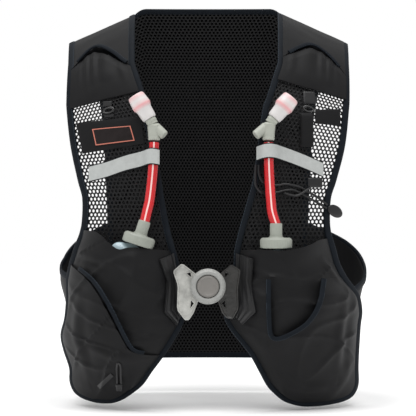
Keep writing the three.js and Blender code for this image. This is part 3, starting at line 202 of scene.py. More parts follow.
# Folds in the pocket cloth: points across and down in the same shares, then height and width
FOLDS = {
    "left": (
        (((0.802, 0.639), (0.653, 0.669)), 2.4, 4.0),
        (((0.734, 0.845), (0.591, 0.863), (0.51, 0.87), (0.423, 0.87)), 2.2, 4.0),
        (((0.771, 0.724), (0.808, 0.823), (0.771, 0.922)), 2.0, 5.0),
        (((0.3, 0.65), (0.36, 0.72), (0.38, 0.8)), 1.6, 6.0),
        (((0.62, 0.93), (0.52, 0.945), (0.44, 0.915)), 1.6, 4.0),
    ),
    "right": (
        (((0.417, 0.91), (0.51, 0.942), (0.634, 0.954), (0.79, 0.947)), 2.2, 4.0),
        (((0.852, 0.724), (0.809, 0.823), (0.821, 0.91)), 2.4, 5.0),
        (((0.728, 0.629), (0.883, 0.686)), 2.4, 4.0),
        (((0.199, 0.699), (0.336, 0.662)), 1.6, 4.0),
        (((0.261, 0.798), (0.336, 0.848)), 1.6, 4.0),
        (((0.36, 0.7), (0.356, 0.86)), 1.5, 1.6),
    ),
}

# Routes and outlines in the same shares; a third number is the height over the body in millimetres
HOSE_ROUTE = {
    "left": ((0.341, 0.33, 9.4), (0.347, 0.39, 9), (0.358, 0.44, 9.4), (0.37, 0.48, 12.6),
             (0.386, 0.508, 16.4)),
    "right": ((0.383, 0.33, 9.4), (0.384, 0.376, 9), (0.389, 0.43, 9.4), (0.397, 0.48, 12.8),
              (0.404, 0.508, 16.4)),
}
BAND_TOP = {
    "left": ((0.306, 0.346), (0.345, 0.343), (0.375, 0.3435), (0.43, 0.35), (0.53, 0.36), (0.65, 0.376),
             (0.765, 0.387)),
    "right": ((0.312, 0.338), (0.38, 0.331), (0.46, 0.336), (0.6, 0.356), (0.735, 0.379)),
}
BAND_DROP = {"left": 0.042, "right": 0.038}
# Each cap: across and fall of its middle, its lean and the lean of the flask under it in degrees
CAP_PLACE = {"left": (0.434, 0.575, 18, 4), "right": (0.427, 0.583, 0, -6)}
SHOULDER_SHEAR = {"left": 0.62, "right": 0.0}  # slope of a flask's shoulders towards its leaning cap
VALVE = {
    "left": {"foot": (0.341, 0.324), "bend": (0.341, 0.287), "tip": (0.451, 0.216), "knob": (0.275, 0.312)},
    "right": {"foot": (0.383, 0.324), "bend": (0.385, 0.284), "tip": (0.509, 0.224), "knob": (0.3, 0.312)},
}
SIDE_TOP = {
    "left": ((0, 0.535), (0.25, 0.58), (0.5, 0.628), (0.75, 0.655), (1, 0.667)),
    "right": ((0, 0.535), (0.25, 0.582), (0.5, 0.635), (0.75, 0.678), (1, 0.703)),
}
SIDE_FOOT = 0.9
SIDE_TAKE_IN = 0.056
SIDE_TAKE_START = 0.68
SIDE_TAKE_RUN = 0.08
SEAM_GAP = -2.0  # side panels lie under the tapes that they are sewn to
# Outer and inner edge of each base strip, from its top down
BASE_STRIP = {
    "left": (
        ((0.29, 0.627), (0.25, 0.678), (0.263, 0.756), (0.2, 0.788)),
        ((0.21, 0.61), (0.19, 0.654), (0.19, 0.744), (0.165, 0.768)),
    ),
    "right": (
        ((0.258, 0.625), (0.25, 0.685), (0.275, 0.754), (0.205, 0.786)),
        ((0.175, 0.61), (0.175, 0.654), (0.185, 0.742), (0.168, 0.768)),
    ),
}
WING_OUTLINE = {
    "left": ((-0.3, 0.32), (-0.735, 0.66), (-1, 0.43), (-0.86, 0.03), (-0.885, -0.66), (-0.66, -0.96),
             (-0.54, -0.96), (-0.4, -0.75), (-0.24, -0.32)),
    "right": ((0.24, -0.32), (0.4, -0.75), (0.52, -0.9), (0.7, -0.93), (0.87, -0.64), (0.85, -0.05),
              (0.93, 0.46), (0.66, 0.63), (0.3, 0.32)),
}
WING_HOLES = (((0.5, 0.4), (0.6, 0.36), (0.47, 0.26)), ((0.48, -0.4), (0.4, -0.48), (0.5, -0.62)))
# Flat trim: name, side, four corners (top pair, foot pair), thickness and slot
TRIM = (
    ("patch_panel", "left", ((0.43, 0.264), (0.845, 0.277), (0.4, 0.333), (0.8, 0.356)), PATCH_THICK, "cloth"),
    ("keeper_strap", "left", ((0.614, 0.2225), (0.672, 0.2225), (0.614, 0.236), (0.672, 0.236)), 1.6, "rubber"),
    ("keeper_tab", "left", ((0.6, 0.2565), (0.66, 0.2565), (0.6, 0.263), (0.66, 0.2645)), 1.6, "rubber"),
    ("keeper_strap", "right", ((0.61, 0.199), (0.68, 0.199), (0.61, 0.229), (0.686, 0.229)), 1.6, "rubber"),
    ("pole_sleeve", "right", ((0.592, 0.256), (0.66, 0.256), (0.592, 0.34), (0.66, 0.34)), 3.4, "cloth"),
    ("patch", "right", ((0.682, 0.246), (0.845, 0.242), (0.682, 0.28), (0.845, 0.285)), PATCH_THICK, "cloth"),
    ("webbing_tab", "right", ((0.634, 0.421), (0.72, 0.421), (0.634, 0.442), (0.72, 0.442)), 2.1, "rubber"),
)
PLATE = ((0.49, 0.287), (0.735, 0.294), (0.462, 0.325), (0.71, 0.336))
LOOP_PLACE = {"left": (0.634, 0.246), "right": (0.641, 0.2425)}
CORDS = {
    "bungee_lower_right": (
        (0.302, 0.386, 4.8), (0.3, 0.41, 4.8), (0.302, 0.439, 4.8), (0.331, 0.454, 4.6), (0.362, 0.457, 3.3),
        (0.43, 0.4555, 3.2), (0.483, 0.451, 3.2), (0.534, 0.449, 3.2), (0.576, 0.4555, 3.3),
        (0.611, 0.463, 3.3), (0.658, 0.473, 3.4), (0.72, 0.487, 4.2), (0.757, 0.496, 4.8),
    ),
    "bungee_upper_right": (
        (0.76, 0.4875, 5), (0.735, 0.4795, 4.6), (0.693, 0.4665, 3.6), (0.639, 0.455, 3.3),
        (0.591, 0.4435, 3.2), (0.54, 0.4375, 3.2), (0.49, 0.4345, 3.2), (0.432, 0.4375, 3.2),
        (0.37, 0.433, 3.3), (0.342, 0.427, 4.6), (0.322, 0.41, 4.8), (0.32, 0.386, 4.8),
    ),
    "bungee_hook_right": (
        (0.483, 0.4575, 6), (0.52, 0.462, 6.2), (0.56, 0.464, 6.4), (0.6, 0.457, 6.4), (0.635, 0.4475, 5.6),
        (0.652, 0.4445, 4.4),
    ),
}
PULL_AT = (0.808, 0.504)
LEFT_LOOP = (
    (0.57, 0.936), (0.571, 0.915), (0.57, 0.895), (0.564, 0.884), (0.552, 0.884), (0.546, 0.895),
    (0.547, 0.915), (0.546, 0.936),
)
LOCK = ((0.538, 0.939), (0.582, 0.939), (0.542, 0.957), (0.578, 0.957))
LEFT_TAB = ((0.593, 0.918), (0.612, 0.91), (0.683, 0.953), (0.702, 0.945))


# Tables and curves

def clamped(share):
    return min(max(share, 0.0), 1.0)


def eased(share):
    return share * share * (3 - 2 * share)


def squared(share):
    """A sine or cosine pushed outwards, which makes a round section squarer."""
    return math.copysign(abs(share) ** 0.6, share)


def uneven(*spot):
    """Soft noise at a spot, the same in each run."""
    return noise.noise(Vector(spot))


def between(corners, u, v):
    """The point at u and v inside four corners."""
    return [
        (corners[0][k] * (1 - u) + corners[1][k] * u) * (1 - v)
        + (corners[2][k] * (1 - u) + corners[3][k] * u) * v for k in (0, 1)
    ]


def rim_drop(u, v, band):
    """One on the rim of a patch, falling to nothing a band further in."""
    return 1 - min(min(u, 1 - u, v, 1 - v) / band, 1.0)


def smooth(a, b, c, d, t):
    """The smooth curve from b to c, with a and d as their neighbours."""
    return b + t * ((c - a) * 0.5 + t * (a - 2.5 * b + 2 * c - 0.5 * d + t * (1.5 * (b - c) + 0.5 * (d - a))))


def row_value(rows, column, at):
    """A column's value at a place between the rows."""
    last = len(rows) - 1
    i = min(max(math.floor(at), 0), last - 1)
    a = rows[i - 1 if i > 0 else 0][column]
    d = rows[i + 2 if i + 2 <= last else last][column]
    return smooth(a, rows[i][column], rows[i + 1][column], d, at - i)


def row_place(rows, column, value):
    """The place between the rows where a column has that value."""
    i = 0
    while i < len(rows) - 2 and rows[i + 1][column] < value:
        i += 1
    return i + (value - rows[i][column]) / (rows[i + 1][column] - rows[i][column])


def line_at(points, x):
    i = 0
    while i < len(points) - 2 and points[i + 1][0] < x:
        i += 1
    t = (x - points[i][0]) / (points[i + 1][0] - points[i][0])
    return points[i][1] + (points[i + 1][1] - points[i][1]) * clamped(t)


def curve(points, steps):
    """Points evenly numbered along the smooth curve through the given ones."""
    count = len(points) - 1
    axes = range(len(points[0]))
    return [tuple(row_value(points, axis, k / steps * count) for axis in axes) for k in range(steps + 1)]


def resampled(points, pitch):
    """The same path with its points a pitch apart."""
    made = [points[0]]
    left = pitch
    for (x0, y0), (x1, y1) in zip(points, points[1:]):
        span = math.hypot(x1 - x0, y1 - y0)
        at = left
        while at <= span:
            made.append((x0 + (x1 - x0) * at / span, y0 + (y1 - y0) * at / span))
            at += pitch
        left = at - span
    made.append(points[-1])
    return made


# The body under the vest

def oval(x, wide):
    half = (HALF_WIDTH + math.copysign(SIDE_SHIFT, x)) * wide
    return (1 - min(abs(x) / half, 0.992) ** ROUNDNESS) ** (1 / ROUNDNESS)


def shoulder_fall(x):
    return SHOULDER_DROP * max(0.0, abs(x) - NECK_HALF) / SHOULDER_RUN


def strap_stations():
    """Distance along the strap line of each of its rows."""
    stations = [0.0]
    for before, after in zip(STRAP_ROWS, STRAP_ROWS[1:]):
        rise = (after[FALL] - before[FALL]) * LENGTH
        stations.append(stations[-1] + math.hypot(rise, (after[DEPTH] - before[DEPTH]) * DEPTH_FRONT))
    return [(station,) for station in stations]


STATION_ROWS = strap_stations()


def strap_place(along):
    return row_place(STATION_ROWS, 0, along)


def front_bare(x, along):
    at = strap_place(along)
    share = row_value(STRAP_ROWS, DEPTH, at)
    depth = share * (DEPTH_BACK if share > 0 else DEPTH_FRONT)
    fall = row_value(STRAP_ROWS, FALL, at) * LENGTH
    slope = row_value(STRAP_ROWS, SLOPE, at)
    wide = row_value(STRAP_ROWS, WIDE, at)
    return Vector((x, depth * oval(x, wide), -fall - slope * shoulder_fall(x)))


def raised(bare, a, b, out):
    """The point of a bare surface at a and b, lifted along its normal."""
    step = 0.5
    across = bare(a + step, b) - bare(a - step, b)
    down = bare(a, b + step) - bare(a, b - step)
    return bare(a, b) + down.cross(across).normalized() * out


def front(x, along, out):
    """A point of a front: across from the middle, along the strap line, out from the body."""
    return raised(front_bare, x, along, out)


def along_at(x, fall):
    """How far along the strap line the body has fallen so far, at x."""
    low, high = STATION_ROWS[1][0], STATION_ROWS[-1][0]
    for _ in range(26):
        middle = (low + high) / 2
        if -front_bare(x, middle).z < fall:
            low = middle
        else:
            high = middle
    return (low + high) / 2


def aim(x, fall, level):
    """The foot on the body of a point that is seen from in front at x and fall."""
    across, along = x, along_at(x, fall)
    for _ in range(24):
        seen = front(across, along, level(across, along))
        across += (x - seen.x) * 0.4
        along += (fall + seen.z) * 0.4
    return across, along


def at_height(out):
    return lambda x, along: out


def spot_at(side, across, fall):
    """A point of a front without height, from its shares across and down."""
    x = SIGN[side] * across * HALF_WIDTH
    return x, along_at(x, fall * LENGTH)


def foot_of(side, across, fall, level):
    return aim(SIGN[side] * across * HALF_WIDTH, fall * LENGTH, level)


def place(side, across, fall, out):
    """The point over a front that is seen at those shares across and down."""
    level = out if callable(out) else at_height(out)
    x, along = foot_of(side, across, fall, level)
    return front(x, along, level(x, along))


def collar_line(x):
    blend = eased(clamped((abs(x) - NECK_HALF + 2) / COLLAR_EASE))
    return COLLAR_RISE * (1 - blend) + (front_bare(x, 0).z - FIT) * blend


def back_bare(x, down):
    share = down / BACK_LENGTH
    at = row_place(BACK_ROWS, DOWN, share)
    depth = row_value(BACK_ROWS, BACK_DEPTH, at) * DEPTH_BACK
    top = collar_line(x)
    return Vector((x, depth * oval(x, row_value(BACK_ROWS, BACK_WIDE, at)), top - share * (top + HEM_DROP)))


def back(x, down, out):
    return raised(back_bare, x, down, -out)


def back_edge(share):
    return row_value(BACK_ROWS, EDGE, row_place(BACK_ROWS, DOWN, share)) * HALF_WIDTH


def rib_point(side, u, fall, out):
    """A point of a side panel, from the back edge (u 0) to the front edge (u 1)."""
    half = HALF_WIDTH + SIGN[side] * SIDE_SHIFT
    share = (fall * LENGTH + COLLAR_RISE) / BACK_LENGTH
    row = row_place(BACK_ROWS, DOWN, share)
    back_depth = row_value(BACK_ROWS, BACK_DEPTH, row) * DEPTH_BACK
    back_half = half * row_value(BACK_ROWS, BACK_WIDE, row)
    edge = (back_edge(share) + SEAM_GAP) * half / back_half
    outline = row_place(FRONT_ROWS[side], OUTLINE_FALL, fall)
    outer = row_value(FRONT_ROWS[side], OUTER, outline) * HALF_WIDTH + SEAM_GAP
    strap = strap_place(along_at(SIGN[side] * outer, fall * LENGTH))
    front_depth = -row_value(STRAP_ROWS, DEPTH, strap) * DEPTH_FRONT

    below = clamped((fall - SIDE_TAKE_START) / SIDE_TAKE_RUN)
    taken = 1 - SIDE_TAKE_IN * eased(below) * 4 * u * (1 - u)

    def turn_at(x):
        return math.acos(min(x / half, 0.9995) ** (ROUNDNESS / 2))

    def bare(turn):
        depth = back_depth if turn > 0 else front_depth
        reach = math.copysign(abs(math.sin(turn)) ** (2 / ROUNDNESS), turn)
        x = SIGN[side] * half * taken * math.cos(turn) ** (2 / ROUNDNESS)
        return Vector((x, depth * reach, -fall * LENGTH))

    turn = turn_at(edge) * (1 - u) - turn_at(outer) * u
    ahead = bare(turn + 0.02) - bare(turn - 0.02)
    normal = Vector((ahead.y, -ahead.x, 0)).normalized()
    if normal.x * SIGN[side] < 0:
        normal = -normal
    return bare(turn) + normal * out


# Outline of a front, in mm across and mm along the strap line

def front_edge(side, column):
    rows = FRONT_ROWS[side]
    finer = 6
    points = [(SIGN[side] * (rows[0][column] * HALF_WIDTH + 4), SEAM_START)]
    for i in range((len(rows) - 1) * finer + 1):
        across, fall = (row_value(rows, axis, i / finer) for axis in (column, OUTLINE_FALL))
        points.append(spot_at(side, across, fall))
    return points


def inset(points, distance):
    """The same path moved sideways."""
    made = []
    for i, (x, along) in enumerate(points):
        before = points[max(i - 1, 0)]
        after = points[min(i + 1, len(points) - 1)]
        dx, da = after[0] - before[0], after[1] - before[1]
        size = math.hypot(dx, da) or 1.0
        made.append((x - da / size * distance, along + dx / size * distance))
    return made


def front_loop(side, distance):
    """Down the inner edge of a front and up its outer one, moved inwards."""
    loop = front_edge(side, INNER) + front_edge(side, OUTER)[::-1][1:]
    return inset(loop, -SIGN[side] * distance)


def rising(points):
    """(along, x) pairs without those that turn back."""
    made = []
    for x, along in points:
        if not made or along > made[-1][0]:
            made.append((along, x))
    return made


def front_span(side, distance):
    """The inner and outer edge of a front as tables over along, and its foot."""
    loop = front_loop(side, distance)
    foot = max(range(len(loop)), key=lambda i: loop[i][1])
    return rising(loop[:foot + 1]), rising(loop[foot:][::-1]), loop[foot][1]


PANEL_INSET = TAPE_WIDTH + TAPE_GAP - TUCK
SPAN = {side: front_span(side, PANEL_INSET) for side in SIDES}


def x_at(side, u, along):
    inner, outer, _ = SPAN[side]
    return line_at(inner, along) * (1 - u) + line_at(outer, along) * u


def share_at(side, x, along):
    """How far x lies from the inner edge (0) to the outer edge (1)."""
    inner, outer, _ = SPAN[side]
    low = line_at(inner, along)
    return clamped((x - low) / (line_at(outer, along) - low))


# Cloth levels

def fold_lines(side):
    """The folds with their points on the body, seen at the height of a full pocket."""
    return [
        ([foot_of(side, across, fall, at_height(20)) for across, fall in points], height, width)
        for points, height, width in FOLDS[side]
    ]


FOLD_LINES = {side: fold_lines(side) for side in SIDES}


def fold_height(line, width, x, along):
    """Height of a fold beside its line: a ridge with a shallow valley on one side."""
    best = None
    total = len(line) - 1
    for i, ((x0, y0), (x1, y1)) in enumerate(zip(line, line[1:])):
        dx, dy = x1 - x0, y1 - y0
        size = math.hypot(dx, dy)
        t = clamped(((x - x0) * dx + (along - y0) * dy) / size ** 2)
        off = math.hypot(x - x0 - dx * t, along - y0 - dy * t)
        side = math.copysign(1.0, (x - x0) * dy - (along - y0) * dx)
        if best is None or off < abs(best[0]):
            best = (off * side, (i + t) / total)
    off, share = best
    taper = math.sin(math.pi * min(max(share, 0.04), 0.96)) ** 0.6
    ridge = math.exp(-(off / width) ** 2) - 0.7 * math.exp(-((off - 1.7 * width) / width) ** 2)
    return ridge * taper


def relief(side, x, along):
    """Folds and soft unevenness of the pocket cloth, fading towards its sewn edges."""
    inner, outer, foot = SPAN[side]
    near = min(abs(x - line_at(inner, along)), abs(line_at(outer, along) - x), max(foot - along, 0.0))
    fade = min(near / FOLD_FADE, 1.0)
    height = 0.0
    for line, lift, width in FOLD_LINES[side]:
        height += lift * fold_height(line, width, x, along)
    height += 1.5 * uneven(x * 0.022, along * 0.04, SIGN[side] * 3.1)
    height += 0.7 * uneven(x * 0.05 + along * 0.03, along * 0.07, SIGN[side] * 7.7)
    bend = 22 * uneven(x * 0.013, along * 0.017, SIGN[side] * 1.9)
    for lean, pitch, lift in ((0.8, 0.024, 2.6), (-0.5, 0.034, 1.9)):
        crease = uneven((x * lean + along + bend) * pitch, (x - along * lean) * 0.008, lean * 5.0)
        height += lift * (1 - min(abs(crease) * 4, 1.0)) ** 3
    return height * fade


def pocket_plain(side, x, along):
    """Height of a flask pocket without its folds, fullest over the flask."""
    inner, outer, foot = SPAN[side]
    low, high = line_at(inner, along), line_at(outer, along)
    middle = SIGN[side] * CAP_PLACE[side][0] * HALF_WIDTH * 1.08
    if x * SIGN[side] < middle * SIGN[side]:
        reach = (x - low) / (middle - low)
    else:
        reach = (high - x) / (high - middle)
    across = math.sin(clamped(reach) * math.pi / 2) ** 0.9
    down = math.sin(clamped((foot - along) / POCKET_RUN) * math.pi / 2) ** 0.9
    wave = 1 + 0.06 * math.sin(along / 13 + x / 17)
    return NET_WALL + LAYER_GAP + POCKET_BULGE * across * down * wave


def pocket_out(side, x, along):
    return pocket_plain(side, x, along) + relief(side, x, along)


def stash_rise(side, x, along):
    below = clamped((SPAN[side][2] - along) / STASH_RUN)
    return math.sin(share_at(side, x, along) * math.pi) * math.sin(below * math.pi / 2)


def stash_lift(side, x, along):
    return CLOTH_WALL + LAYER_GAP * 2 + STASH_BULGE * stash_rise(side, x, along)


def stash_out(side, x, along):
    return pocket_out(side, x, along) + stash_lift(side, x, along)


def layer_points(side, top, level, low):
    """A function of u and v over a layer of cloth, from its upper edge line down to its foot."""
    seen = [foot_of(side, across, fall, level) for across, fall in curve(top, 40)]
    line = [(abs(x), along) for x, along in seen]
    high = min(along for _, along in line)

    def spot(u, v):
        row = high + (low - high) * (1 - (1 - v) ** 1.4)
        along = row
        for _ in range(12):
            upper = line_at(line, abs(x_at(side, u, along)))
            target = upper + (row - high) / (low - high) * (low - upper)
            along += (target - along) * 0.5
        return x_at(side, u, along), along

    return spot


# Mesh helpers

def mapped_grid(bm, columns, rows, placed, scale=(1.0, 1.0)):
    """Add a grid whose corners are moved to placed(u, v), in mm, with its UV times a scale."""
    layer = bm.loops.layers.uv.verify()
    made = bmesh.ops.create_grid(bm, x_segments=columns, y_segments=rows, size=0.5)["verts"]
    for vert in made:
        for loop in vert.link_loops:
            loop[layer].uv = ((vert.co.x + 0.5) * scale[0], (vert.co.y + 0.5) * scale[1])
    for vert in made:
        vert.co = placed(vert.co.x + 0.5, vert.co.y + 0.5) * MM


def merged(bm):
    bmesh.ops.remove_doubles(bm, verts=bm.verts[:], dist=MERGE)


def cloth_sheet(columns, rows, placed, wall):
    bm = bmesh.new()
    mapped_grid(bm, columns, rows, placed)
    merged(bm)
    bmesh.ops.solidify(bm, geom=bm.faces[:], thickness=wall * MM)
    return bm


def swept_tape(bm, surface, path, width, low, high, sides=12):
    """A rounded tape that follows a path on a surface."""
    steps = len(path) - 1
    length = sum(math.hypot(b[0] - a[0], b[1] - a[1]) for a, b in zip(path, path[1:]))

    def placed(u, v):
        i = round(u * steps)
        x, along = path[i]
        before, after = path[max(i - 1, 0)], path[min(i + 1, steps)]
        dx, da = after[0] - before[0], after[1] - before[1]
        size = math.hypot(dx, da) or 1.0
        turn = 2 * math.pi * v
        off = 0.5 * width * squared(math.cos(turn))
        rise = 0.5 + 0.5 * squared(math.sin(turn))
        foot, head = low(x, along), high(x, along)
        return surface(x - da / size * off, along + dx / size * off, foot + (head - foot) * rise)

    mapped_grid(bm, steps, sides, placed, (length / 10, 1.0))


def swept_tube(bm, points, radius, sides, steps):
    """A round tube along the smooth curve through points; v 0 of its UV looks to the front."""
    centres = [Vector(p) for p in curve(points, steps)]
    tangents = []
    for i in range(steps + 1):
        tangents.append((centres[min(i + 1, steps)] - centres[max(i - 1, 0)]).normalized())
    normal = Vector((0, -1, 0))
    frames = []
    for tangent in tangents:
        normal = (normal - tangent * normal.dot(tangent)).normalized()
        frames.append((normal.copy(), tangent.cross(normal)))

    def placed(u, v):
        i = round(u * steps)
        turn = 2 * math.pi * v
        return centres[i] + (frames[i][0] * math.cos(turn) + frames[i][1] * math.sin(turn)) * radius

    length = sum((b - a).length for a, b in zip(centres, centres[1:]))
    mapped_grid(bm, steps, sides, placed, (length / 10, 1.0))


def turned(bm, profile, sides, start, end, ripple=None):
    """A turned piece about the line from start to end; the profile gives radius and height."""
    axis = (end - start).normalized()
    first = axis.orthogonal().normalized()
    second = axis.cross(first)
    rows = len(profile) - 1

    def placed(u, v):
        i = round(u * rows)
        radius, height = profile[i]
        turn = 2 * math.pi * v
        if ripple:
            radius += ripple(i, turn)
        return start + axis * height + (first * math.cos(turn) + second * math.sin(turn)) * radius

    mapped_grid(bm, rows, sides, placed)


def capped(bm):
    """Close the open ends of a tape or a tube."""
    merged(bm)
    bmesh.ops.holes_fill(bm, edges=[edge for edge in bm.edges if edge.is_boundary], sides=0)


SOFT_TURN = 60.0
SHARP_TURN = 30.0
NET_TURN = 80.0


def finished(context, node, bm, materials, sharp=38.0):
    """Turn a bmesh into the piece that stands for a node of the part."""
    merged(bm)
    bmesh.ops.recalc_face_normals(bm, faces=bm.faces[:])
    for face in bm.faces:
        face.smooth = True
    for edge in bm.edges:
        if edge.is_manifold and edge.calc_face_angle() > math.radians(sharp):
            edge.smooth = False
    mesh = bpy.data.meshes.new(node)
    bm.to_mesh(mesh)
    bm.free()
    for material in materials:
        mesh.materials.append(material)
    piece = bpy.data.objects.new(f"look_{node}", mesh)
    context.scene.collection.objects.link(piece)
    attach(piece, "root")
    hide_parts(node)


def finished_tube(context, node, points, radius, sides, steps, material):
    bm = bmesh.new()
    swept_tube(bm, points, radius, sides, steps)
    capped(bm)
    finished(context, node, bm, [material], SOFT_TURN)


# Materials

def linear(colour, gain=1.0):
    """A linear RGBA colour, from an sRGB code or from a colour setting."""
    if isinstance(colour, int):
        shares = [((colour >> shift) & 255) / 255 for shift in (16, 8, 0)]
        colour = [s / 12.92 if s <= 0.04045 else ((s + 0.055) / 1.055) ** 2.4 for s in shares]
    return [min(s * gain, 1.0) for s in colour] + [1.0]


# Of each finish: colour, or the colour setting that gives it, roughness, specular, how far the colour
# drifts, scale of the drift, scale of the grain, its depth in metres, and further shader inputs
FINISHES = {
    "vest cloth": ("cloth", 0.55, 0.13, 0.12, 40.0, 1600.0, 0.00015, {"Sheen Weight": 0.02}),
    "vest net": ("net", 0.5, 0.2, 0.2, 300.0, 2500.0, 0.0001, {}),
    # the lining's own near-black, also laid on the shoulder pockets as painted shade under their hoods
    "vest lining": (0x060607, 1.0, 0.02, 0.2, 60.0, 1200.0, 0.0002, {}),
    "vest tape": ("tape", 0.65, 0.12, 0.15, 120.0, 2200.0, 0.0002, {}),
    "vest band": ("band", 0.75, 0.2, 0.05, 200.0, 1800.0, 0.0003, {}),
    "vest hose": ("hose", 0.18, 0.5, 0.06, 90.0, 400.0, 0.00005, {"Coat Weight": 0.4}),
    "vest mouthpiece": (0xE3DEDC, 0.28, 0.4, 0.05, 90.0, 300.0, 0.00005, {"Coat Weight": 0.2}),
    "vest plate": (0x241F1F, 0.8, 0.15, 0.15, 150.0, 1500.0, 0.0002, {}),
    "vest rubber": (0x1B1B1C, 0.36, 0.45, 0.12, 150.0, 900.0, 0.0001, {}),
    "vest wing light": (0xABABA6, 0.22, 0.5, 0.3, 110.0, 300.0, 0.0008, {"Coat Weight": 0.3}),
    "vest wing dark": (0x262523, 0.3, 0.5, 0.3, 110.0, 300.0, 0.0008, {"Coat Weight": 0.2}),
    "vest flask": (0xA8BCC4, 0.2, 0.5, 0.08, 70.0, 250.0, 0.0001, {"Coat Weight": 0.3}),
    "vest cap": (0x9A9E95, 0.38, 0.4, 0.05, 120.0, 700.0, 0.00006, {}),
    "vest elbow": (0xAEB1A7, 0.38, 0.4, 0.05, 120.0, 700.0, 0.00006, {}),
    "vest ring": (0x9A9B98, 0.32, 0.4, 0.05, 120.0, 700.0, 0.00006, {}),
    "vest button": (0x7C7975, 0.45, 0.4, 0.05, 120.0, 700.0, 0.00006, {}),
    "vest ring dark": (0x2B2B2B, 0.18, 0.6, 0.1, 200.0, 500.0, 0.00003, {}),
    "floor": (0xFAFAFA, 0.9, 0.0, 0.01, 3.0, 50.0, 0.0, {}),
}
# Pink tint along a bite valve, from its elbow to its tip
MOUTHPIECE_STOPS = (
    (0.0, 0xD6D3D2), (0.3, 0xD9D6D5), (0.39, 0xE9A8AB), (0.47, 0xEF8E94), (0.53, 0xE6C3C3),
    (0.6, 0xE2DEDD), (0.68, 0xEDB4B6), (0.76, 0xE9C9C9), (0.86, 0xF0989C), (1.0, 0xEE9095),
)
MOUTHPIECE_TINT = 0.7


def finish(name):
    """The material of a finish: its colour drifts a little and its surface has a fine grain."""
    known = bpy.data.materials.get(name)
    if known:
        return known
    colour, roughness, specular, mottle, patch, grain, depth, extra = FINISHES[name]
    if isinstance(colour, str):
        colour = list(getattr(bpy.context.scene.vest_colours, colour))
    material = bpy.data.materials.new(name)
    material.use_nodes = True
    nodes, links = material.node_tree.nodes, material.node_tree.links
    shader = nodes["Principled BSDF"]
    coords = nodes.new("ShaderNodeTexCoord")
    drift = nodes.new("ShaderNodeTexNoise")
    drift.inputs["Scale"].default_value = patch
    drift.inputs["Detail"].default_value = 5.0
    links.new(coords.outputs["Object"], drift.inputs["Vector"])
    ramp = nodes.new("ShaderNodeValToRGB")
    for element, position, gain in zip(ramp.color_ramp.elements, (0.3, 0.7), (1 - mottle, 1 + mottle)):
        element.position = position
        element.color = linear(colour, gain)
    links.new(drift.outputs[0], ramp.inputs[0])
    links.new(ramp.outputs[0], shader.inputs["Base Color"])
    fine = nodes.new("ShaderNodeTexNoise")
    fine.inputs["Scale"].default_value = grain
    links.new(coords.outputs["Object"], fine.inputs["Vector"])
    bump = nodes.new("ShaderNodeBump")
    bump.inputs["Strength"].default_value = 0.5
    bump.inputs["Distance"].default_value = depth
    links.new(fine.outputs[0], bump.inputs["Height"])
    links.new(bump.outputs["Normal"], shader.inputs["Normal"])
    for socket, value in {"Roughness": roughness, "Specular IOR Level": specular, **extra}.items():
        shader.inputs[socket].default_value = value
    if name in DRESSINGS:
        DRESSINGS[name](material)
    return material


def uv_axis(material, axis):
    nodes, links = material.node_tree.nodes, material.node_tree.links
    coords = nodes.new("ShaderNodeTexCoord")
    split = nodes.new("ShaderNodeSeparateXYZ")
    links.new(coords.outputs["UV"], split.inputs[0])
    return split.outputs[axis]


def maths(material, operation, first, second):
    node = material.node_tree.nodes.new("ShaderNodeMath")
    node.operation = operation
    for socket, value in zip(node.inputs, (first, second)):
        if isinstance(value, (int, float)):
            socket.default_value = value
        else:
            material.node_tree.links.new(value, socket)
    return node.outputs[0]


def away_from(material, axis, centre):
    """Distance of a UV axis from a centre."""
    return maths(material, "ABSOLUTE", maths(material, "SUBTRACT", uv_axis(material, axis), centre), 0.0)


def beyond(material, axis, reach):
    """One where a UV axis lies further than reach from its middle."""
    return maths(material, "GREATER_THAN", away_from(material, axis, 0.5), reach)


def overlaid(material, mask, colour):
    """Lay a second colour over a material, by a mask from 0 to 1."""
    nodes, links = material.node_tree.nodes, material.node_tree.links
    base = nodes["Principled BSDF"].inputs["Base Color"]
    mix = nodes.new("ShaderNodeMix")
    mix.data_type = "RGBA"
    for socket, value in ((mix.inputs[0], mask), (mix.inputs[7], colour)):
        if isinstance(value, bpy.types.NodeSocket):
            links.new(value, socket)
        else:
            socket.default_value = value
    links.new(base.links[0].from_socket, mix.inputs[6])
    links.new(mix.outputs[2], base)


def stitched(material):
    """A line of stitches along a tape, beside its outer edge."""
    dash = maths(material, "FRACT", maths(material, "MULTIPLY", uv_axis(material, 0), 3.3), 0.0)
    dash = maths(material, "LESS_THAN", dash, 0.6)
    line = maths(material, "LESS_THAN", away_from(material, 1, 0.1), 0.018)
    overlaid(material, maths(material, "MULTIPLY", dash, line), linear(0x3A434C))


def dark_edged(material):
    overlaid(material, beyond(material, 1, 0.44), linear(0x16181A))


def painted_highlight_line(material):
    """A painted highlight: a pale line down the front of a hose, on the side that faces the camera."""
    overlaid(material, beyond(material, 1, 0.474), linear(0xF3CFCB))


def tinted(material):
    """The pink that shows through a bite valve."""
    ramp = material.node_tree.nodes.new("ShaderNodeValToRGB")
    elements = ramp.color_ramp.elements
    while len(elements) < len(MOUTHPIECE_STOPS):
        elements.new(0.5)
    for element, (position, code) in zip(elements, MOUTHPIECE_STOPS):
        element.position = position
        element.color = linear(code)
    material.node_tree.links.new(uv_axis(material, 0), ramp.inputs[0])
    overlaid(material, MOUTHPIECE_TINT, ramp.outputs[0])


def framed(material):
    """The frame round the plate of the patch."""
    frame_mask = maths(material, "MAXIMUM", beyond(material, 0, 0.474), beyond(material, 1, 0.445))
    overlaid(material, frame_mask, linear(list(bpy.context.scene.vest_colours.patch_frame)))


DRESSINGS = {
    "vest tape": stitched,
    "vest band": dark_edged,
    # painted highlight down the front of each hose
    "vest hose": painted_highlight_line,
    "vest mouthpiece": tinted,
    "vest plate": framed,
}


# Settings

def length_setting(name, description, default):
    return FloatProperty(
        name=name, description=description, default=default, unit="LENGTH", subtype="DISTANCE")


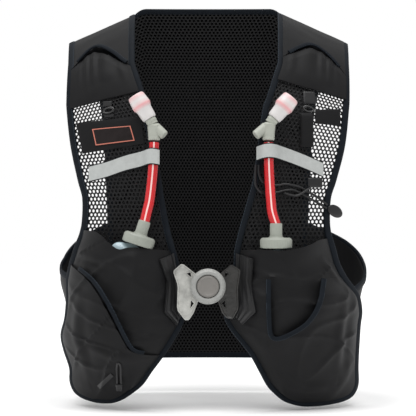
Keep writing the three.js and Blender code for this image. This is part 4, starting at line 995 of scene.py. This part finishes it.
def colour_setting(name, description, code):
    return FloatVectorProperty(
        name=name, description=description, subtype="COLOR", size=3, min=0.0, max=1.0,
        default=linear(code)[:3])


class VestColourSettings(bpy.types.PropertyGroup):
    cloth: colour_setting("Cloth", "Colour of the pockets, yokes and side panels", 0x19191A)
    net: colour_setting("Net", "Colour of the net of the straps and the back", 0x1A1A1B)
    tape: colour_setting("Tape", "Colour of the bindings", 0x12171D)
    band: colour_setting("Band", "Colour of the elastic bands over the hoses", 0xB6B9B7)
    hose: colour_setting("Hose", "Colour of the drinking hoses", 0xC8161E)
    patch_frame: colour_setting("Patch frame", "Colour of the frame on the left patch", 0xC87C6B)


class VestNetSettings(bpy.types.PropertyGroup):
    cell_width: length_setting("Cell width", "Distance between two holes of the net across", 0.0039)
    cell_height: length_setting("Row height", "Distance between two rows of holes", 0.0033)
    strand: length_setting("Strand", "Width of the yarn between two holes", 0.0015)


class VestClothSettings(bpy.types.PropertyGroup):
    columns: IntProperty(name="Columns", description="Squares across a layer of cloth", default=64, min=8)
    rows: IntProperty(name="Rows", description="Squares down a layer of cloth", default=80, min=8)


class VestTapeSettings(bpy.types.PropertyGroup):
    pitch: length_setting("Pitch", "Distance between two sections of a tape", 0.003)


class VestHardSettings(bpy.types.PropertyGroup):
    segments: IntProperty(name="Segments", description="Sides of a turned piece", default=48, min=12)
    ribs: IntProperty(name="Ribs", description="Grip ribs round a flask cap", default=36, min=8)


class VestStageSettings(bpy.types.PropertyGroup):
    distance: length_setting("Camera distance", "From the camera to the middle of the body", 2.2)
    height: length_setting("Camera height", "Height of the camera over the shoulder seat", -0.205)
    sun: FloatProperty(name="Sun", description="Strength of the sun", default=2.6, min=0.0)
    sky: FloatProperty(name="Sky", description="Strength of the white sky on the vest", default=0.6, min=0.0)


# Nets

def net_cells(columns, rows, width, height, strand):
    """A flat net in mm: bricks from a grid, shifted to hexagons, with a hole left in each."""
    bm = bmesh.new()
    across = 2 * columns
    bmesh.ops.create_grid(bm, x_segments=across, y_segments=rows, size=0.5)
    spot = {vert: (round((vert.co.x + 0.5) * across), round((vert.co.y + 0.5) * rows)) for vert in bm.verts}
    spare = []
    for edge in bm.edges:
        (i, j), (k, l) = spot[edge.verts[0]], spot[edge.verts[1]]
        if i == k and 0 < i < across and (i + min(j, l)) % 2 == 0:
            spare.append(edge)
    shift = 0.17 / rows
    for vert, (i, j) in spot.items():
        lift = 0 if j in (0, rows) else (-shift if (i + j) % 2 == 0 else shift)
        vert.co = Vector((vert.co.x * width, (vert.co.y + lift) * height, 0))
    bmesh.ops.dissolve_edges(bm, edges=spare, use_verts=False)
    inner = bm.faces[:]
    bmesh.ops.inset_individual(bm, faces=inner, thickness=strand / 2, use_even_offset=True)
    bmesh.ops.delete(bm, geom=inner, context="FACES")
    return bm


def net_size(settings, width, height):
    return round(width / (settings.cell_width / MM)), round(height / (settings.cell_height / MM))


class VEST_OT_build_nets(bpy.types.Operator):
    """Build the net of the straps and the back"""
    bl_idname = "vest.build_nets"
    bl_label = "Nets"

    def execute(self, context):
        settings = context.scene.vest_net
        strand = settings.strand / MM
        for side in SIDES:
            width, height = STRAP_NET_WIDTH, SPAN[side][2] - 1.0 - SEAM_START
            columns, rows = net_size(settings, width / STRAP_COARSENESS, height / STRAP_COARSENESS)
            bm = net_cells(columns, rows, width, height, strand)
            bmesh.ops.solidify(bm, geom=bm.faces[:], thickness=1.0)
            for vert in bm.verts:
                u = clamped(vert.co.x / width + 0.5)
                along = SEAM_START + (vert.co.y / height + 0.5) * height
                vert.co = front(x_at(side, u, along), along, 0.8 + vert.co.z) * MM
            finished(context, f"strap_net_{side}", bm, [finish("vest net")], NET_TURN)
        self.back(context, settings, strand)
        for side in SIDES:
            self.side_panel(context, side)
        return {"FINISHED"}

    def side_panel(self, context, side):
        def rib(u, v):
            top = line_at(SIDE_TOP[side], u) + (PANEL_INSET - 1) / LENGTH
            fall = top + (SIDE_FOOT - top) * v
            soft = 1.2 * uneven(u * 3, fall * 9, SIGN[side] * 5.0)
            return rib_point(side, u, fall, 0.5 + soft * math.sin(math.pi * u))

        bm = cloth_sheet(30, 24, rib, 1.4)
        finished(context, f"side_panel_{side}", bm, [finish("vest cloth")])

    def back(self, context, settings, strand):
        width, height = BACK_NET_WIDTH, BACK_LENGTH - 2 * PANEL_INSET
        columns, rows = net_size(settings, width, height)
        bm = net_cells(columns, rows, width, height, strand)
        made = bmesh.ops.extrude_edge_only(bm, edges=[edge for edge in bm.edges if edge.is_boundary])
        for item in made["geom"]:
            if isinstance(item, bmesh.types.BMVert):
                item.co.z = BACK_NET_THICK
        for vert in bm.verts:
            vert.co = self.back_point(vert.co.x / width + 0.5, vert.co.y / height + 0.5, vert.co.z) * MM
        for index, out in ((1, BACK_LINING_OUT), (2, BACK_CLOTH_OUT)):
            count = len(bm.faces)
            mapped_grid(bm, 60, 60, lambda u, v: self.back_point(u, v, out))
            bm.faces.ensure_lookup_table()
            for face in bm.faces[count:]:
                face.material_index = index
        materials = [finish("vest net"), finish("vest lining"), finish("vest cloth")]
        finished(context, "back_panel", bm, materials, NET_TURN)

    def back_point(self, u, v, out):
        down = PANEL_INSET + (BACK_LENGTH - 2 * PANEL_INSET) * v
        half = back_edge(down / BACK_LENGTH) - PANEL_INSET
        return back((u * 2 - 1) * half, down, out)


# Cloth

class VEST_OT_build_cloth(bpy.types.Operator):
    """Build the yokes and the pockets of both fronts"""
    bl_idname = "vest.build_cloth"
    bl_label = "Cloth"

    def execute(self, context):
        for side in SIDES:
            self.shoulder(context, side)
            self.pocket(context, "flask_pocket", side, FLASK_POCKET_TOP[side], pocket_out)
            self.pocket(context, "stash_pocket", side, STASH_TOP[side], stash_out)
        return {"FINISHED"}

    def pocket(self, context, name, side, top, out):
        settings = context.scene.vest_cloth
        scooped = name == "stash_pocket" and side == "right"
        spot = layer_points(side, top, lambda x, along: pocket_plain(side, x, along), SPAN[side][2] - 0.8)

        def sheet(u, v):
            x, along = spot(u, v)
            level = out(side, x, along)
            if scooped:
                flat = pocket_out(side, x, along) + FIT
                level = flat + (level - flat) * min(v / 0.1, 1.0)
            return front(x, along, level)

        bm = bmesh.new()
        mapped_grid(bm, settings.columns, settings.rows, sheet, (10.0, 13.0))
        if scooped:
            self.scoop(bm)
        merged(bm)
        bmesh.ops.solidify(bm, geom=bm.faces[:], thickness=-CLOTH_WALL * MM)
        finished(context, f"{name}_{side}", bm, [finish("vest cloth")], SOFT_TURN)

    def shoulder(self, context, side):
        low = spot_at(side, 0.6, YOKE_FOOT[side])[1]

        def yoke(u, v):
            along = SEAM_START + (low - SEAM_START) * v
            x = x_at(side, u, along)
            soft = 0.5 * uneven(x * 0.04, along * 0.05, 9.0)
            return front(x, along, NET_WALL + LAYER_GAP / 2 + soft)

        bm = cloth_sheet(28, 44, yoke, CLOTH_WALL)
        finished(context, f"shoulder_yoke_{side}", bm, [finish("vest cloth")])
        spot = layer_points(side, SHOULDER_POCKET_TOP[side], at_height(YOKE_TOP), low)

        def pocket(u, v):
            x, along = spot(u, v)
            soft = 0.6 * uneven(x * 0.05, along * 0.06, 2.0)
            pleat = 0.9 * math.cos(u * 34 + 2 * math.sin(u * 9)) * math.exp(-((v - 0.2) / 0.3) ** 2)
            bulge = SHOULDER_BULGE * (1 - v) * min(v / 0.22, 1.0)
            return front(x, along, YOKE_TOP + (bulge + soft + pleat) * math.sin(u * math.pi))

        bm = cloth_sheet(48, 64, pocket, CLOTH_WALL)
        # Faces just under the hood get the dark lining colour as painted shade of the opening beneath it
        uv = bm.loops.layers.uv.verify()
        for face in bm.faces:
            u, v = (sum(loop[uv].uv[axis] for loop in face.loops) / len(face.loops) for axis in (0, 1))
            if v < GAPE_SHADE * math.sin(math.pi * u) ** 0.7:
                face.material_index = 1
        materials = [finish("vest cloth"), finish("vest lining")]
        finished(context, f"shoulder_pocket_{side}", bm, materials)

    def scoop(self, bm):
        """Cut the right stash pocket's opening out of its upper edge."""
        rim = [(x * HALF_WIDTH * MM, -fall * LENGTH * MM) for x, fall in STASH_SCOOP]
        inside = []
        for face in bm.faces:
            spot = face.calc_center_median()
            crossings = 0
            for (x0, z0), (x1, z1) in zip(rim, rim[1:] + rim[:1]):
                if (z0 > spot.z) != (z1 > spot.z) and spot.x < x0 + (spot.z - z0) / (z1 - z0) * (x1 - x0):
                    crossings += 1
            if crossings % 2:
                inside.append(face)
        bmesh.ops.delete(bm, geom=inside, context="FACES")


# Tapes

def tape_top(x, along):
    """Outer face of the tape round a front, which grows where it takes in the pockets."""
    grow = clamped((along - along_at(x, 0.54 * LENGTH)) / 20)
    return STRAP_TAPE_THICK + (POCKET_TAPE_THICK - STRAP_TAPE_THICK) * grow - TAPE_BACK


class VEST_OT_build_tapes(bpy.types.Operator):
    """Build the bindings round every edge and the bound mouths of the pockets"""
    bl_idname = "vest.build_tapes"
    bl_label = "Tapes"

    def execute(self, context):
        pitch = context.scene.vest_tape.pitch / MM
        for side in SIDES:
            path = resampled(front_loop(side, TAPE_WIDTH / 2), pitch)
            low = at_height(-TAPE_BACK)
            self.tape(context, f"front_binding_{side}", front, path, TAPE_WIDTH, low, tape_top)
            edge = []
            for i in range(61):
                down = TAPE_WIDTH + (BACK_LENGTH - 2 * TAPE_WIDTH) * i / 60
                edge.append((SIGN[side] * (back_edge(down / BACK_LENGTH) - TAPE_WIDTH / 2), down))
            self.back_tape(context, f"armhole_binding_{side}", resampled(edge, pitch))
            self.side_tape(context, side)
            self.shoulder_mouth(context, side)
        for name, down in (("collar_binding", TAPE_WIDTH / 2), ("hem_binding", BACK_LENGTH - TAPE_WIDTH / 2)):
            end = back_edge(down / BACK_LENGTH)
            self.back_tape(context, name, resampled([(-end, down), (end, down)], pitch))
        self.stash_mouths(context)
        return {"FINISHED"}

    def tape(self, context, name, surface, path, width, low, high):
        bm = bmesh.new()
        swept_tape(bm, surface, path, width, low, high)
        capped(bm)
        finished(context, name, bm, [finish("vest tape")], SOFT_TURN)

    def back_tape(self, context, name, path):
        low, high = at_height(-TAPE_BACK), at_height(BACK_WALL + TAPE_BACK)
        self.tape(context, name, back, path, TAPE_WIDTH, low, high)

    def side_tape(self, context, side):
        bm = bmesh.new()

        def placed(u, v):
            turn = 2 * math.pi * v
            drop = 0.5 + 0.5 * squared(math.cos(turn))
            rise = 0.5 + 0.5 * squared(math.sin(turn))
            fall = line_at(SIDE_TOP[side], u) + drop * TAPE_WIDTH / LENGTH
            return rib_point(side, u, fall, -TAPE_BACK + rise * STRAP_TAPE_THICK)

        mapped_grid(bm, 40, 12, placed, (18.0, 1.0))
        capped(bm)
        finished(context, f"side_binding_{side}", bm, [finish("vest tape")], SOFT_TURN)

    def shoulder_mouth(self, context, side):
        def level(x, along):
            return YOKE_TOP + (SHOULDER_BULGE + 1.5) * math.sin(share_at(side, x, along) * math.pi)

        self.mouth(context, f"shoulder_mouth_{side}", side, SHOULDER_POCKET_TOP[side], level, 0.53, 0.85)

    def mouth(self, context, name, side, top, level, start, end):
        line = curve(top, 60)
        seen = []
        for i in range(31):
            across = start + (end - start) * i / 30
            seen.append(foot_of(side, across, line_at(line, across), level))
        path = inset(seen, -SIGN[side] * MOUTH_TAPE_WIDTH * 0.3)
        self.mouth_tape(context, name, path, MOUTH_TAPE_WIDTH, level)

    def mouth_tape(self, context, name, path, width, level):
        self.tape(context, name, front, path, width, lambda x, along: level(x, along) - MOUTH_TAPE_THICK / 2,
                  lambda x, along: level(x, along) + MOUTH_TAPE_THICK / 2 + 0.4)

    def stash_mouths(self, context):
        self.mouth(context, "stash_mouth_left", "left", STASH_TOP["left"],
                   lambda x, along: stash_out("left", x, along), 0.4, 0.82)

        def level(x, along):
            return stash_out("right", x, along)

        top = STASH_TOP["right"][0][1]
        rim = [(x * HALF_WIDTH, max(fall, top) * LENGTH) for x, fall in STASH_SCOOP]
        rim = resampled(curve(rim[1:-1], 60), 3.0)
        rim = [(rim[0][0], top * LENGTH)] + rim + [(STASH_SCOOP[-1][0] * HALF_WIDTH, top * LENGTH)]
        path = [aim(x, fall, level) for x, fall in inset(rim, -0.6)]
        self.mouth_tape(context, "stash_mouth_right", path, MOUTH_TAPE_WIDTH + 0.6, level)


# Flasks, hoses, valves and bands

def flask_axis(side):
    across, fall, lean, _ = CAP_PLACE[side]
    foot = place(side, across, fall, NET_WALL + LAYER_GAP + CAP_RADIUS)
    turn = math.radians(lean)
    return foot, Vector((math.sin(turn), 0, math.cos(turn)))


class VEST_OT_build_flasks(bpy.types.Operator):
    """Build the soft flasks with their caps, hoses, bite valves and bands"""
    bl_idname = "vest.build_flasks"
    bl_label = "Flasks"

    def execute(self, context):
        settings = context.scene.vest_hard
        for side in SIDES:
            self.cap(context, side, settings)
            self.flask(context, side, settings)
            self.hose(context, side)
            self.valve(context, side)
            self.band(context, side)
        return {"FINISHED"}

    def cap(self, context, side, settings):
        foot, up = flask_axis(side)
        start = foot - up * (CAP_HEIGHT / 2)
        top = CAP_HEIGHT + NOZZLE_HEIGHT
        profile = (
            (0, 0), (CAP_RADIUS - 1, 0), (CAP_RADIUS, 0.8), (CAP_RADIUS, CAP_HEIGHT - 2.5),
            (CAP_RADIUS - 0.8, CAP_HEIGHT - 1), (CAP_RADIUS - 2.4, CAP_HEIGHT),
            (NOZZLE_RADIUS + 2.5, CAP_HEIGHT), (NOZZLE_RADIUS + 0.8, CAP_HEIGHT + 0.8),
            (NOZZLE_RADIUS, CAP_HEIGHT + 2.5),
            (NOZZLE_RADIUS, top - 1), (NOZZLE_RADIUS - 0.6, top), (0, top),
        )

        def ripple(i, turn):
            return 0.12 * math.cos(turn * settings.ribs) if i in (2, 3) else 0.0

        bm = bmesh.new()
        turned(bm, profile, settings.ribs * 4, start, start + up, ripple)
        finished(context, f"flask_cap_{side}", bm, [finish("vest cap")])

    def flask(self, context, side, settings):
        share, fall, _, body_lean = CAP_PLACE[side]
        foot, up = flask_axis(side)
        neck = foot - up * (CAP_HEIGHT / 2 + FIT * 4)
        turn = math.radians(body_lean)
        leaning = Vector((math.sin(turn), -FLASK_TILT, math.cos(turn))).normalized()
        lower = fall + FLASK_LENGTH / 2 / LENGTH
        inward = place(side, share, lower, 0.0) - place(side, share, lower, 1.0)
        across = leaning.cross(inward).normalized()
        depth = across.cross(leaning)
        outline = curve(((0, 1), (0.5, 1), (0.82, 0.88), (0.98, 0.65), (1, 0.35), (0.97, 0.16), (0.78, 0.08),
                         (0.36, 0.03), (0.14, 0), (0, 0)), 36)

        def placed(u, v):
            radius, height = outline[round(u * 36)]
            angle = 2 * math.pi * v
            dent = 1 + 0.02 * math.sin(6 * height + 3 * angle)
            reach = max(radius, 0.0) * FLASK_HALF_WIDTH * dent
            squash = FLASK_HALF_DEPTH / FLASK_HALF_WIDTH
            side_reach = across * reach * math.cos(angle)
            rise = -side_reach.x * SHOULDER_SHEAR[side] * max(0.0, 1 - height * 2.5)
            return (neck + side_reach + depth * reach * squash * math.sin(angle)
                    - leaning * (clamped(height) * FLASK_LENGTH - rise))

        bm = bmesh.new()
        mapped_grid(bm, 36, settings.segments, placed)
        finished(context, f"flask_{side}", bm, [finish("vest flask")])

    def hose(self, context, side):
        route = [place(side, across, fall, out) for across, fall, out in HOSE_ROUTE[side]]
        foot, up = flask_axis(side)
        route.append(foot + up * (CAP_HEIGHT / 2 + NOZZLE_HEIGHT - 2))
        finished_tube(context, f"hose_{side}", route, HOSE_RADIUS, 24, 60, finish("vest hose"))

    def valve(self, context, side):
        spots = VALVE[side]
        stand = HOSE_ROUTE[side][0][2]
        foot = place(side, *spots["foot"], stand)
        bend = place(side, *spots["bend"], stand + 1.5)
        tip = place(side, *spots["tip"], stand + 8)
        knob = place(side, *spots["knob"], stand + 2)
        stem = (foot - bend).length
        r = ELBOW_RADIUS
        bm = bmesh.new()
        turned(bm, ((0, 0), (r - 0.4, 0), (r + 0.2, 0.8), (r + 0.5, 2.2), (r + 0.1, 3.2), (r + 0.5, 4.4),
                    (r + 0.5, stem * 0.5), (r + 1, stem * 0.8), (r + 1.1, stem), (r * 0.7, stem + 2.4),
                    (0, stem + 3.2)), 32, foot, bend)
        turned(bm, ((0, 0), (r - 1.6, 0), (r - 0.9, 0.8), (r - 0.7, stem * 0.5), (r - 0.7, stem * 0.9),
                    (0, stem * 1.05)), 28, knob, bend)
        away = (tip - bend).normalized()
        seat = bend + away * r * 0.3
        turned(bm, ((0, 0), (r - 0.3, 0), (r - 0.3, 3), (r + 0.1, 3.6), (r - 0.2, 6.3), (0, ELBOW_NECK)), 28,
               seat, tip)
        finished(context, f"valve_elbow_{side}", bm, [finish("vest elbow")])
        base = seat + away * (ELBOW_NECK + FIT)
        wide, long = MOUTHPIECE_RADIUS, MOUTHPIECE_LENGTH
        profile = (
            (0, 0), (wide * 0.66, 0), (wide * 0.72, 0.6), (wide * 0.76, 2), (wide * 0.79, long * 0.2),
            (wide * 0.82, long * 0.4), (wide * 0.9, long * 0.46), (wide * 0.97, long * 0.52),
            (wide, long * 0.56), (wide, long * 0.62), (wide * 0.96, long * 0.74), (wide * 0.92, long * 0.88),
            (wide * 0.88, long * 0.96), (wide * 0.8, long), (wide * 0.5, long), (wide * 0.42, long * 0.96),
            (wide * 0.12, long * 0.95), (0, long * 0.97),
        )
        bm = bmesh.new()
        turned(bm, profile, 32, base, tip)
        finished(context, f"mouthpiece_{side}", bm, [finish("vest mouthpiece")], SOFT_TURN)

    def band(self, context, side):
        top = curve(BAND_TOP[side], 40)
        near, far = top[0][0], top[-1][0]
        mark = HOSE_ROUTE[side][1]
        flat = NET_WALL + LAYER_GAP

        def placed(u, v):
            across = near + (far - near) * u
            hump = math.exp(-(((across - mark[0]) / 0.062) ** 4))
            out = flat + (mark[2] + HOSE_RADIUS + LAYER_GAP - flat) * hump
            return place(side, across, line_at(top, across) + v * BAND_DROP[side], out)

        bm = cloth_sheet(60, 6, placed, CLOTH_WALL)
        finished(context, f"hose_band_{side}", bm, [finish("vest band")], SOFT_TURN)


# Buckle

def plate_solid(bm, outline, holes, thick, soften):
    """A flat plate in mm in the XZ plane, drawn out towards -Y, with its edges rounded."""
    edges = []
    for ring in (outline, *holes):
        verts = [bm.verts.new((x, 0, z)) for x, z in ring]
        edges += [bm.edges.new((vert, verts[(i + 1) % len(verts)])) for i, vert in enumerate(verts)]
    filled = bmesh.ops.triangle_fill(bm, use_beauty=True, edges=edges)["geom"]
    faces = [item for item in filled if isinstance(item, bmesh.types.BMFace)]
    drawn = bmesh.ops.extrude_face_region(bm, geom=faces)["geom"]
    moved = [item for item in drawn if isinstance(item, bmesh.types.BMVert)]
    bmesh.ops.translate(bm, verts=moved, vec=(0, -thick, 0))
    limit = math.radians(SOFT_TURN)
    rims = [edge for edge in bm.edges if edge.is_manifold and edge.calc_face_angle() > limit]
    bmesh.ops.bevel(bm, geom=rims, offset=soften, segments=2, profile=0.5, affect="EDGES", material=-1,
                    clamp_overlap=True)
    bm.normal_update()
    shown = [
        face for face in bm.faces
        if abs(face.normal.y) > 0.99 and face.calc_center_median().y < -thick / 2
    ]
    bmesh.ops.inset_region(bm, faces=shown, thickness=0.8, depth=0)
    bmesh.ops.inset_region(bm, faces=shown, thickness=0.6, depth=-0.6)


def rounded(ring):
    """The closed outline with its corners cut back, so that its sides stay straight."""
    cut = []
    for (x0, y0), (x1, y1) in zip(ring, ring[1:] + ring[:1]):
        for t in (CORNER_CUT, 1 - CORNER_CUT):
            cut.append((x0 * (1 - t) + x1 * t, y0 * (1 - t) + y1 * t))
    return cut


def surface_top(side, x, along):
    """Outer face of the cloth and tapes that a base strip lies on."""
    cloth = pocket_plain(side, x, along)
    if side == "right":
        cloth += stash_lift(side, x, along)
    return max(cloth + CLOTH_WALL, POCKET_TAPE_THICK - TAPE_BACK) + LAYER_GAP + FIT


class VEST_OT_build_buckle(bpy.types.Operator):
    """Build the dial buckle with its wings and base strips"""
    bl_idname = "vest.build_buckle"
    bl_label = "Buckle"

    def execute(self, context):
        segments = context.scene.vest_hard.segments
        stand = front(0, along_at(0, BUCKLE_FALL), POCKET_TAPE_THICK + BASE_THICK + 8).y
        for side in SIDES:
            self.base(context, side)
            self.wing(context, side, stand)
        start = Vector((0, stand - WING_THICK - FIT, -BUCKLE_FALL))
        end = start + Vector((0, -1, 0))
        hole = BUTTON_RADIUS + FIT * 2

        def grips(i, turn):
            return 0.25 * math.cos(turn * RING_GRIPS) if i in (5, 6) else 0.0

        bm = bmesh.new()
        r, top = RING_RADIUS, RING_THICK
        turned(bm, ((hole, 0), (r - 0.8, 0), (r, 0.8), (r, 3), (r - 0.5, 3.6), (r - 0.5, 4.4), (r - 1.4, 6),
                    (r - 3, top), (hole + 1.8, top), (hole + 0.8, top - 0.4), (hole, top - 1.5), (hole, 0)),
               segments * 2, start, end, grips)
        finished(context, "buckle_ring", bm, [finish("vest ring")], SHARP_TURN)
        r = BUTTON_RADIUS
        bm = bmesh.new()
        turned(bm, ((0, 0), (r, 0), (r, 5.2), (r - 0.6, 6.1), (r - 1.6, 6.6), (r - 2.6, 6.5), (r - 3.4, 5.9),
                    (r - 6, 5.5), (0, 5.3)), segments * 2, start, end)
        finished(context, "buckle_button", bm, [finish("vest button")], SHARP_TURN)
        return {"FINISHED"}

    def wing(self, context, side, stand):
        outline = rounded([(x * WING_REACH, z * WING_REACH) for x, z in WING_OUTLINE[side]])
        holes = [[(x * SIGN[side] * WING_REACH, z * WING_REACH) for x, z in hole] for hole in WING_HOLES]
        bm = bmesh.new()
        plate_solid(bm, outline, holes, WING_THICK, 0.5)
        for vert in bm.verts:
            vert.co = (vert.co + Vector((0, stand, -BUCKLE_FALL))) * MM
        shade = "light" if side == "left" else "dark"
        material = finish(f"vest wing {shade}")
        finished(context, f"buckle_wing_{side}", bm, [material], SHARP_TURN)

    def base(self, context, side):
        edges = [[spot_at(side, across, fall) for across, fall in edge] for edge in BASE_STRIP[side]]

        def placed(u, v):
            at = min(v * 3, 2.9999)
            i, t = int(at), at % 1.0
            (x0, y0), (x1, y1) = [
                (line[i][0] * (1 - t) + line[i + 1][0] * t, line[i][1] * (1 - t) + line[i + 1][1] * t)
                for line in edges
            ]
            x, y = x0 * (1 - u) + x1 * u, y0 * (1 - u) + y1 * u
            ridge = 0.32 * math.cos(u * 6 * math.pi)
            return front(x, y, surface_top(side, x, y) + BASE_THICK / 2 + ridge)

        bm = cloth_sheet(30, 60, placed, BASE_THICK)
        finished(context, f"buckle_base_{side}", bm, [finish("vest rubber")])


# Trim and cords

class VEST_OT_build_trim(bpy.types.Operator):
    """Build the patches, keepers, rings, cords and pulls on the fronts"""
    bl_idname = "vest.build_trim"
    bl_label = "Trim"

    def execute(self, context):
        for name, side, corners, thick, slot in TRIM:
            self.patch(context, name, side, corners, TRIM_LOW, thick, slot)
        self.patch(context, "patch_plate", "left", PLATE, TRIM_LOW + PATCH_THICK + FIT, 0.8, "plate")
        for side in SIDES:
            self.ring(context, side)
        for name, route in CORDS.items():
            points = [place("right", *spot) for spot in route]
            finished_tube(context, name, points, CORD_RADIUS, 12, 70, finish("vest rubber"))
        self.pull(context)
        self.left_holder(context)
        return {"FINISHED"}

    def patch(self, context, name, side, corners, low, thick, slot):
        spots = [spot_at(side, across, fall) for across, fall in corners]

        def placed(u, v):
            return front(*between(spots, u, v), low + thick / 2 - thick * 0.35 * rim_drop(u, v, 0.08))

        bm = cloth_sheet(28, 20, placed, max(thick / 2, 0.6))
        finished(context, f"{name}_{side}", bm, [finish(f"vest {slot}")], SOFT_TURN)

    def ring(self, context, side):
        x, along = foot_of(side, *LOOP_PLACE[side], at_height(TRIM_LOW))

        def placed(u, v):
            around, turn = 2 * math.pi * u, 2 * math.pi * v
            wire = LOOP_WIRE * 0.9
            dx = math.cos(around) * (LOOP_HALF_WIDTH + wire * math.cos(turn))
            dy = math.sin(around) * (LOOP_HALF_HEIGHT + wire * math.cos(turn))
            return front(x + dx, along + dy, TRIM_LOW + LOOP_WIRE * 1.2 + wire * math.sin(turn))

        bm = bmesh.new()
        mapped_grid(bm, 40, 12, placed)
        finished(context, f"keeper_ring_{side}", bm, [finish("vest ring dark")], SOFT_TURN)

    def pull(self, context):
        x, along = foot_of("right", *PULL_AT, at_height(STRAP_TAPE_THICK))
        turn = math.radians(PULL_TURN)

        def placed(u, v):
            angle, tilt = 2 * math.pi * v, math.pi * (u - 0.5)
            reach = abs(math.cos(tilt)) ** 0.5
            a, b = PULL_HALF[0] * reach * math.cos(angle), PULL_HALF[1] * reach * math.sin(angle)
            dx = a * math.cos(turn) - b * math.sin(turn)
            dy = a * math.sin(turn) + b * math.cos(turn)
            rise = PULL_THICK * (0.5 + 0.5 * math.sin(tilt))
            return front(x + dx, along + dy, STRAP_TAPE_THICK + FIT + rise)

        bm = bmesh.new()
        mapped_grid(bm, 12, 40, placed)
        finished(context, "bungee_pull_right", bm, [finish("vest rubber")], SOFT_TURN)

    def left_holder(self, context):
        """Build the cord, lock and tab that lie over the left stash pocket."""
        def over(stand):
            return lambda x, along: stash_out("left", x, along) + CLOTH_WALL + stand

        points = [place("left", across, fall, over(CORD_RADIUS)) for across, fall in LEFT_LOOP]
        finished_tube(context, "bungee_left", points, CORD_RADIUS, 12, 50, finish("vest rubber"))
        for name, corners, thick, slot in (
                ("cord_lock_left", LOCK, 4.4, "rubber"), ("bungee_pull_left", LEFT_TAB, 1.6, "cord")):
            def placed(u, v):
                height = over(FIT + thick - thick * 0.4 * rim_drop(u, v, 0.2))
                return place("left", *between(corners, u, v), height)

            bm = cloth_sheet(10, 10, placed, thick * 0.6)
            finished(context, name, bm, [finish("vest rubber")], SOFT_TURN)


# Stage

class VEST_OT_build_stage(bpy.types.Operator):
    """Set up the floor, the sky, the sun and the camera"""
    bl_idname = "vest.build_stage"
    bl_label = "Stage"

    def execute(self, context):
        settings = context.scene.vest_stage
        scene = context.scene
        bm = bmesh.new()
        bmesh.ops.create_grid(bm, x_segments=8, y_segments=8, size=FLOOR_HALF)
        bmesh.ops.translate(bm, verts=bm.verts[:], vec=(0, 2.2, FLOOR_LEVEL))
        mesh = bpy.data.meshes.new("floor")
        bm.to_mesh(mesh)
        bm.free()
        mesh.materials.append(finish("floor"))
        floor = bpy.data.objects.new("floor", mesh)
        lamp = bpy.data.lights.new("sun", "SUN")
        lamp.energy = settings.sun
        lamp.angle = math.radians(SUN_ANGLE)
        sun = bpy.data.objects.new("sun", lamp)
        sun.rotation_euler = Vector(SUN_AIM).to_track_quat("-Z", "Y").to_euler()
        lens = bpy.data.cameras.new("camera")
        lens.sensor_width = 36.0
        lens.lens = LENS
        lens.clip_end = 50.0
        camera = bpy.data.objects.new("camera", lens)
        camera.location = (0, -settings.distance, settings.height)
        camera.rotation_euler = (math.radians(90), 0, 0)
        for item in (floor, sun, camera):
            scene.collection.objects.link(item)
        scene.camera = camera
        world = bpy.data.worlds.new("sky")
        scene.world = world
        world.use_nodes = True
        nodes, links = world.node_tree.nodes, world.node_tree.links
        shown, lit = nodes["Background"], nodes.new("ShaderNodeBackground")
        for sky, strength in ((shown, 1.0), (lit, settings.sky)):
            sky.inputs["Color"].default_value = (1, 1, 1, 1)
            sky.inputs["Strength"].default_value = strength
        path = nodes.new("ShaderNodeLightPath")
        mix = nodes.new("ShaderNodeMixShader")
        links.new(path.outputs["Is Camera Ray"], mix.inputs[0])
        links.new(lit.outputs[0], mix.inputs[1])
        links.new(shown.outputs[0], mix.inputs[2])
        links.new(mix.outputs[0], nodes["World Output"].inputs["Surface"])
        scene.view_settings.view_transform = "Standard"
        return {"FINISHED"}


class VEST_PT_sidebar(bpy.types.Panel):
    """Sidebar panel with a button for each group of pieces"""
    bl_label = "Running Vest"
    bl_idname = "VEST_PT_sidebar"
    bl_space_type = "VIEW_3D"
    bl_region_type = "UI"
    bl_category = "Vest"

    def draw(self, context):
        for step, settings in SIDEBAR:
            box = self.layout.box()
            if settings:
                group = getattr(context.scene, settings)
                for key in group.bl_rna.properties.keys():
                    if key not in ("name", "rna_type"):
                        box.prop(group, key)
            if step:
                box.operator(f"vest.build_{step}")


# Boxes of the sidebar: the operator's step and the settings over it
SIDEBAR = (
    (None, "vest_colours"), ("nets", "vest_net"), ("cloth", "vest_cloth"), ("tapes", "vest_tape"),
    ("flasks", "vest_hard"), ("buckle", None), ("trim", None), ("stage", "vest_stage"),
)
GROUPS = {
    "vest_colours": VestColourSettings,
    "vest_net": VestNetSettings,
    "vest_cloth": VestClothSettings,
    "vest_tape": VestTapeSettings,
    "vest_hard": VestHardSettings,
    "vest_stage": VestStageSettings,
}
CLASSES = (
    *GROUPS.values(), VEST_OT_build_nets, VEST_OT_build_cloth, VEST_OT_build_tapes, VEST_OT_build_flasks,
    VEST_OT_build_buckle, VEST_OT_build_trim, VEST_OT_build_stage, VEST_PT_sidebar,
)


def register():
    for item in CLASSES:
        bpy.utils.register_class(item)
    for name, group in GROUPS.items():
        setattr(bpy.types.Scene, name, PointerProperty(type=group))


def unregister():
    for name in GROUPS:
        delattr(bpy.types.Scene, name)
    for item in reversed(CLASSES):
        bpy.utils.unregister_class(item)


def main():
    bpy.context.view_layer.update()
    register()
    bpy.ops.vest.build_nets()
    bpy.ops.vest.build_cloth()
    bpy.ops.vest.build_tapes()
    bpy.ops.vest.build_flasks()
    bpy.ops.vest.build_buckle()
    bpy.ops.vest.build_trim()
    bpy.ops.vest.build_stage()


if __name__ == "__main__":
    main()
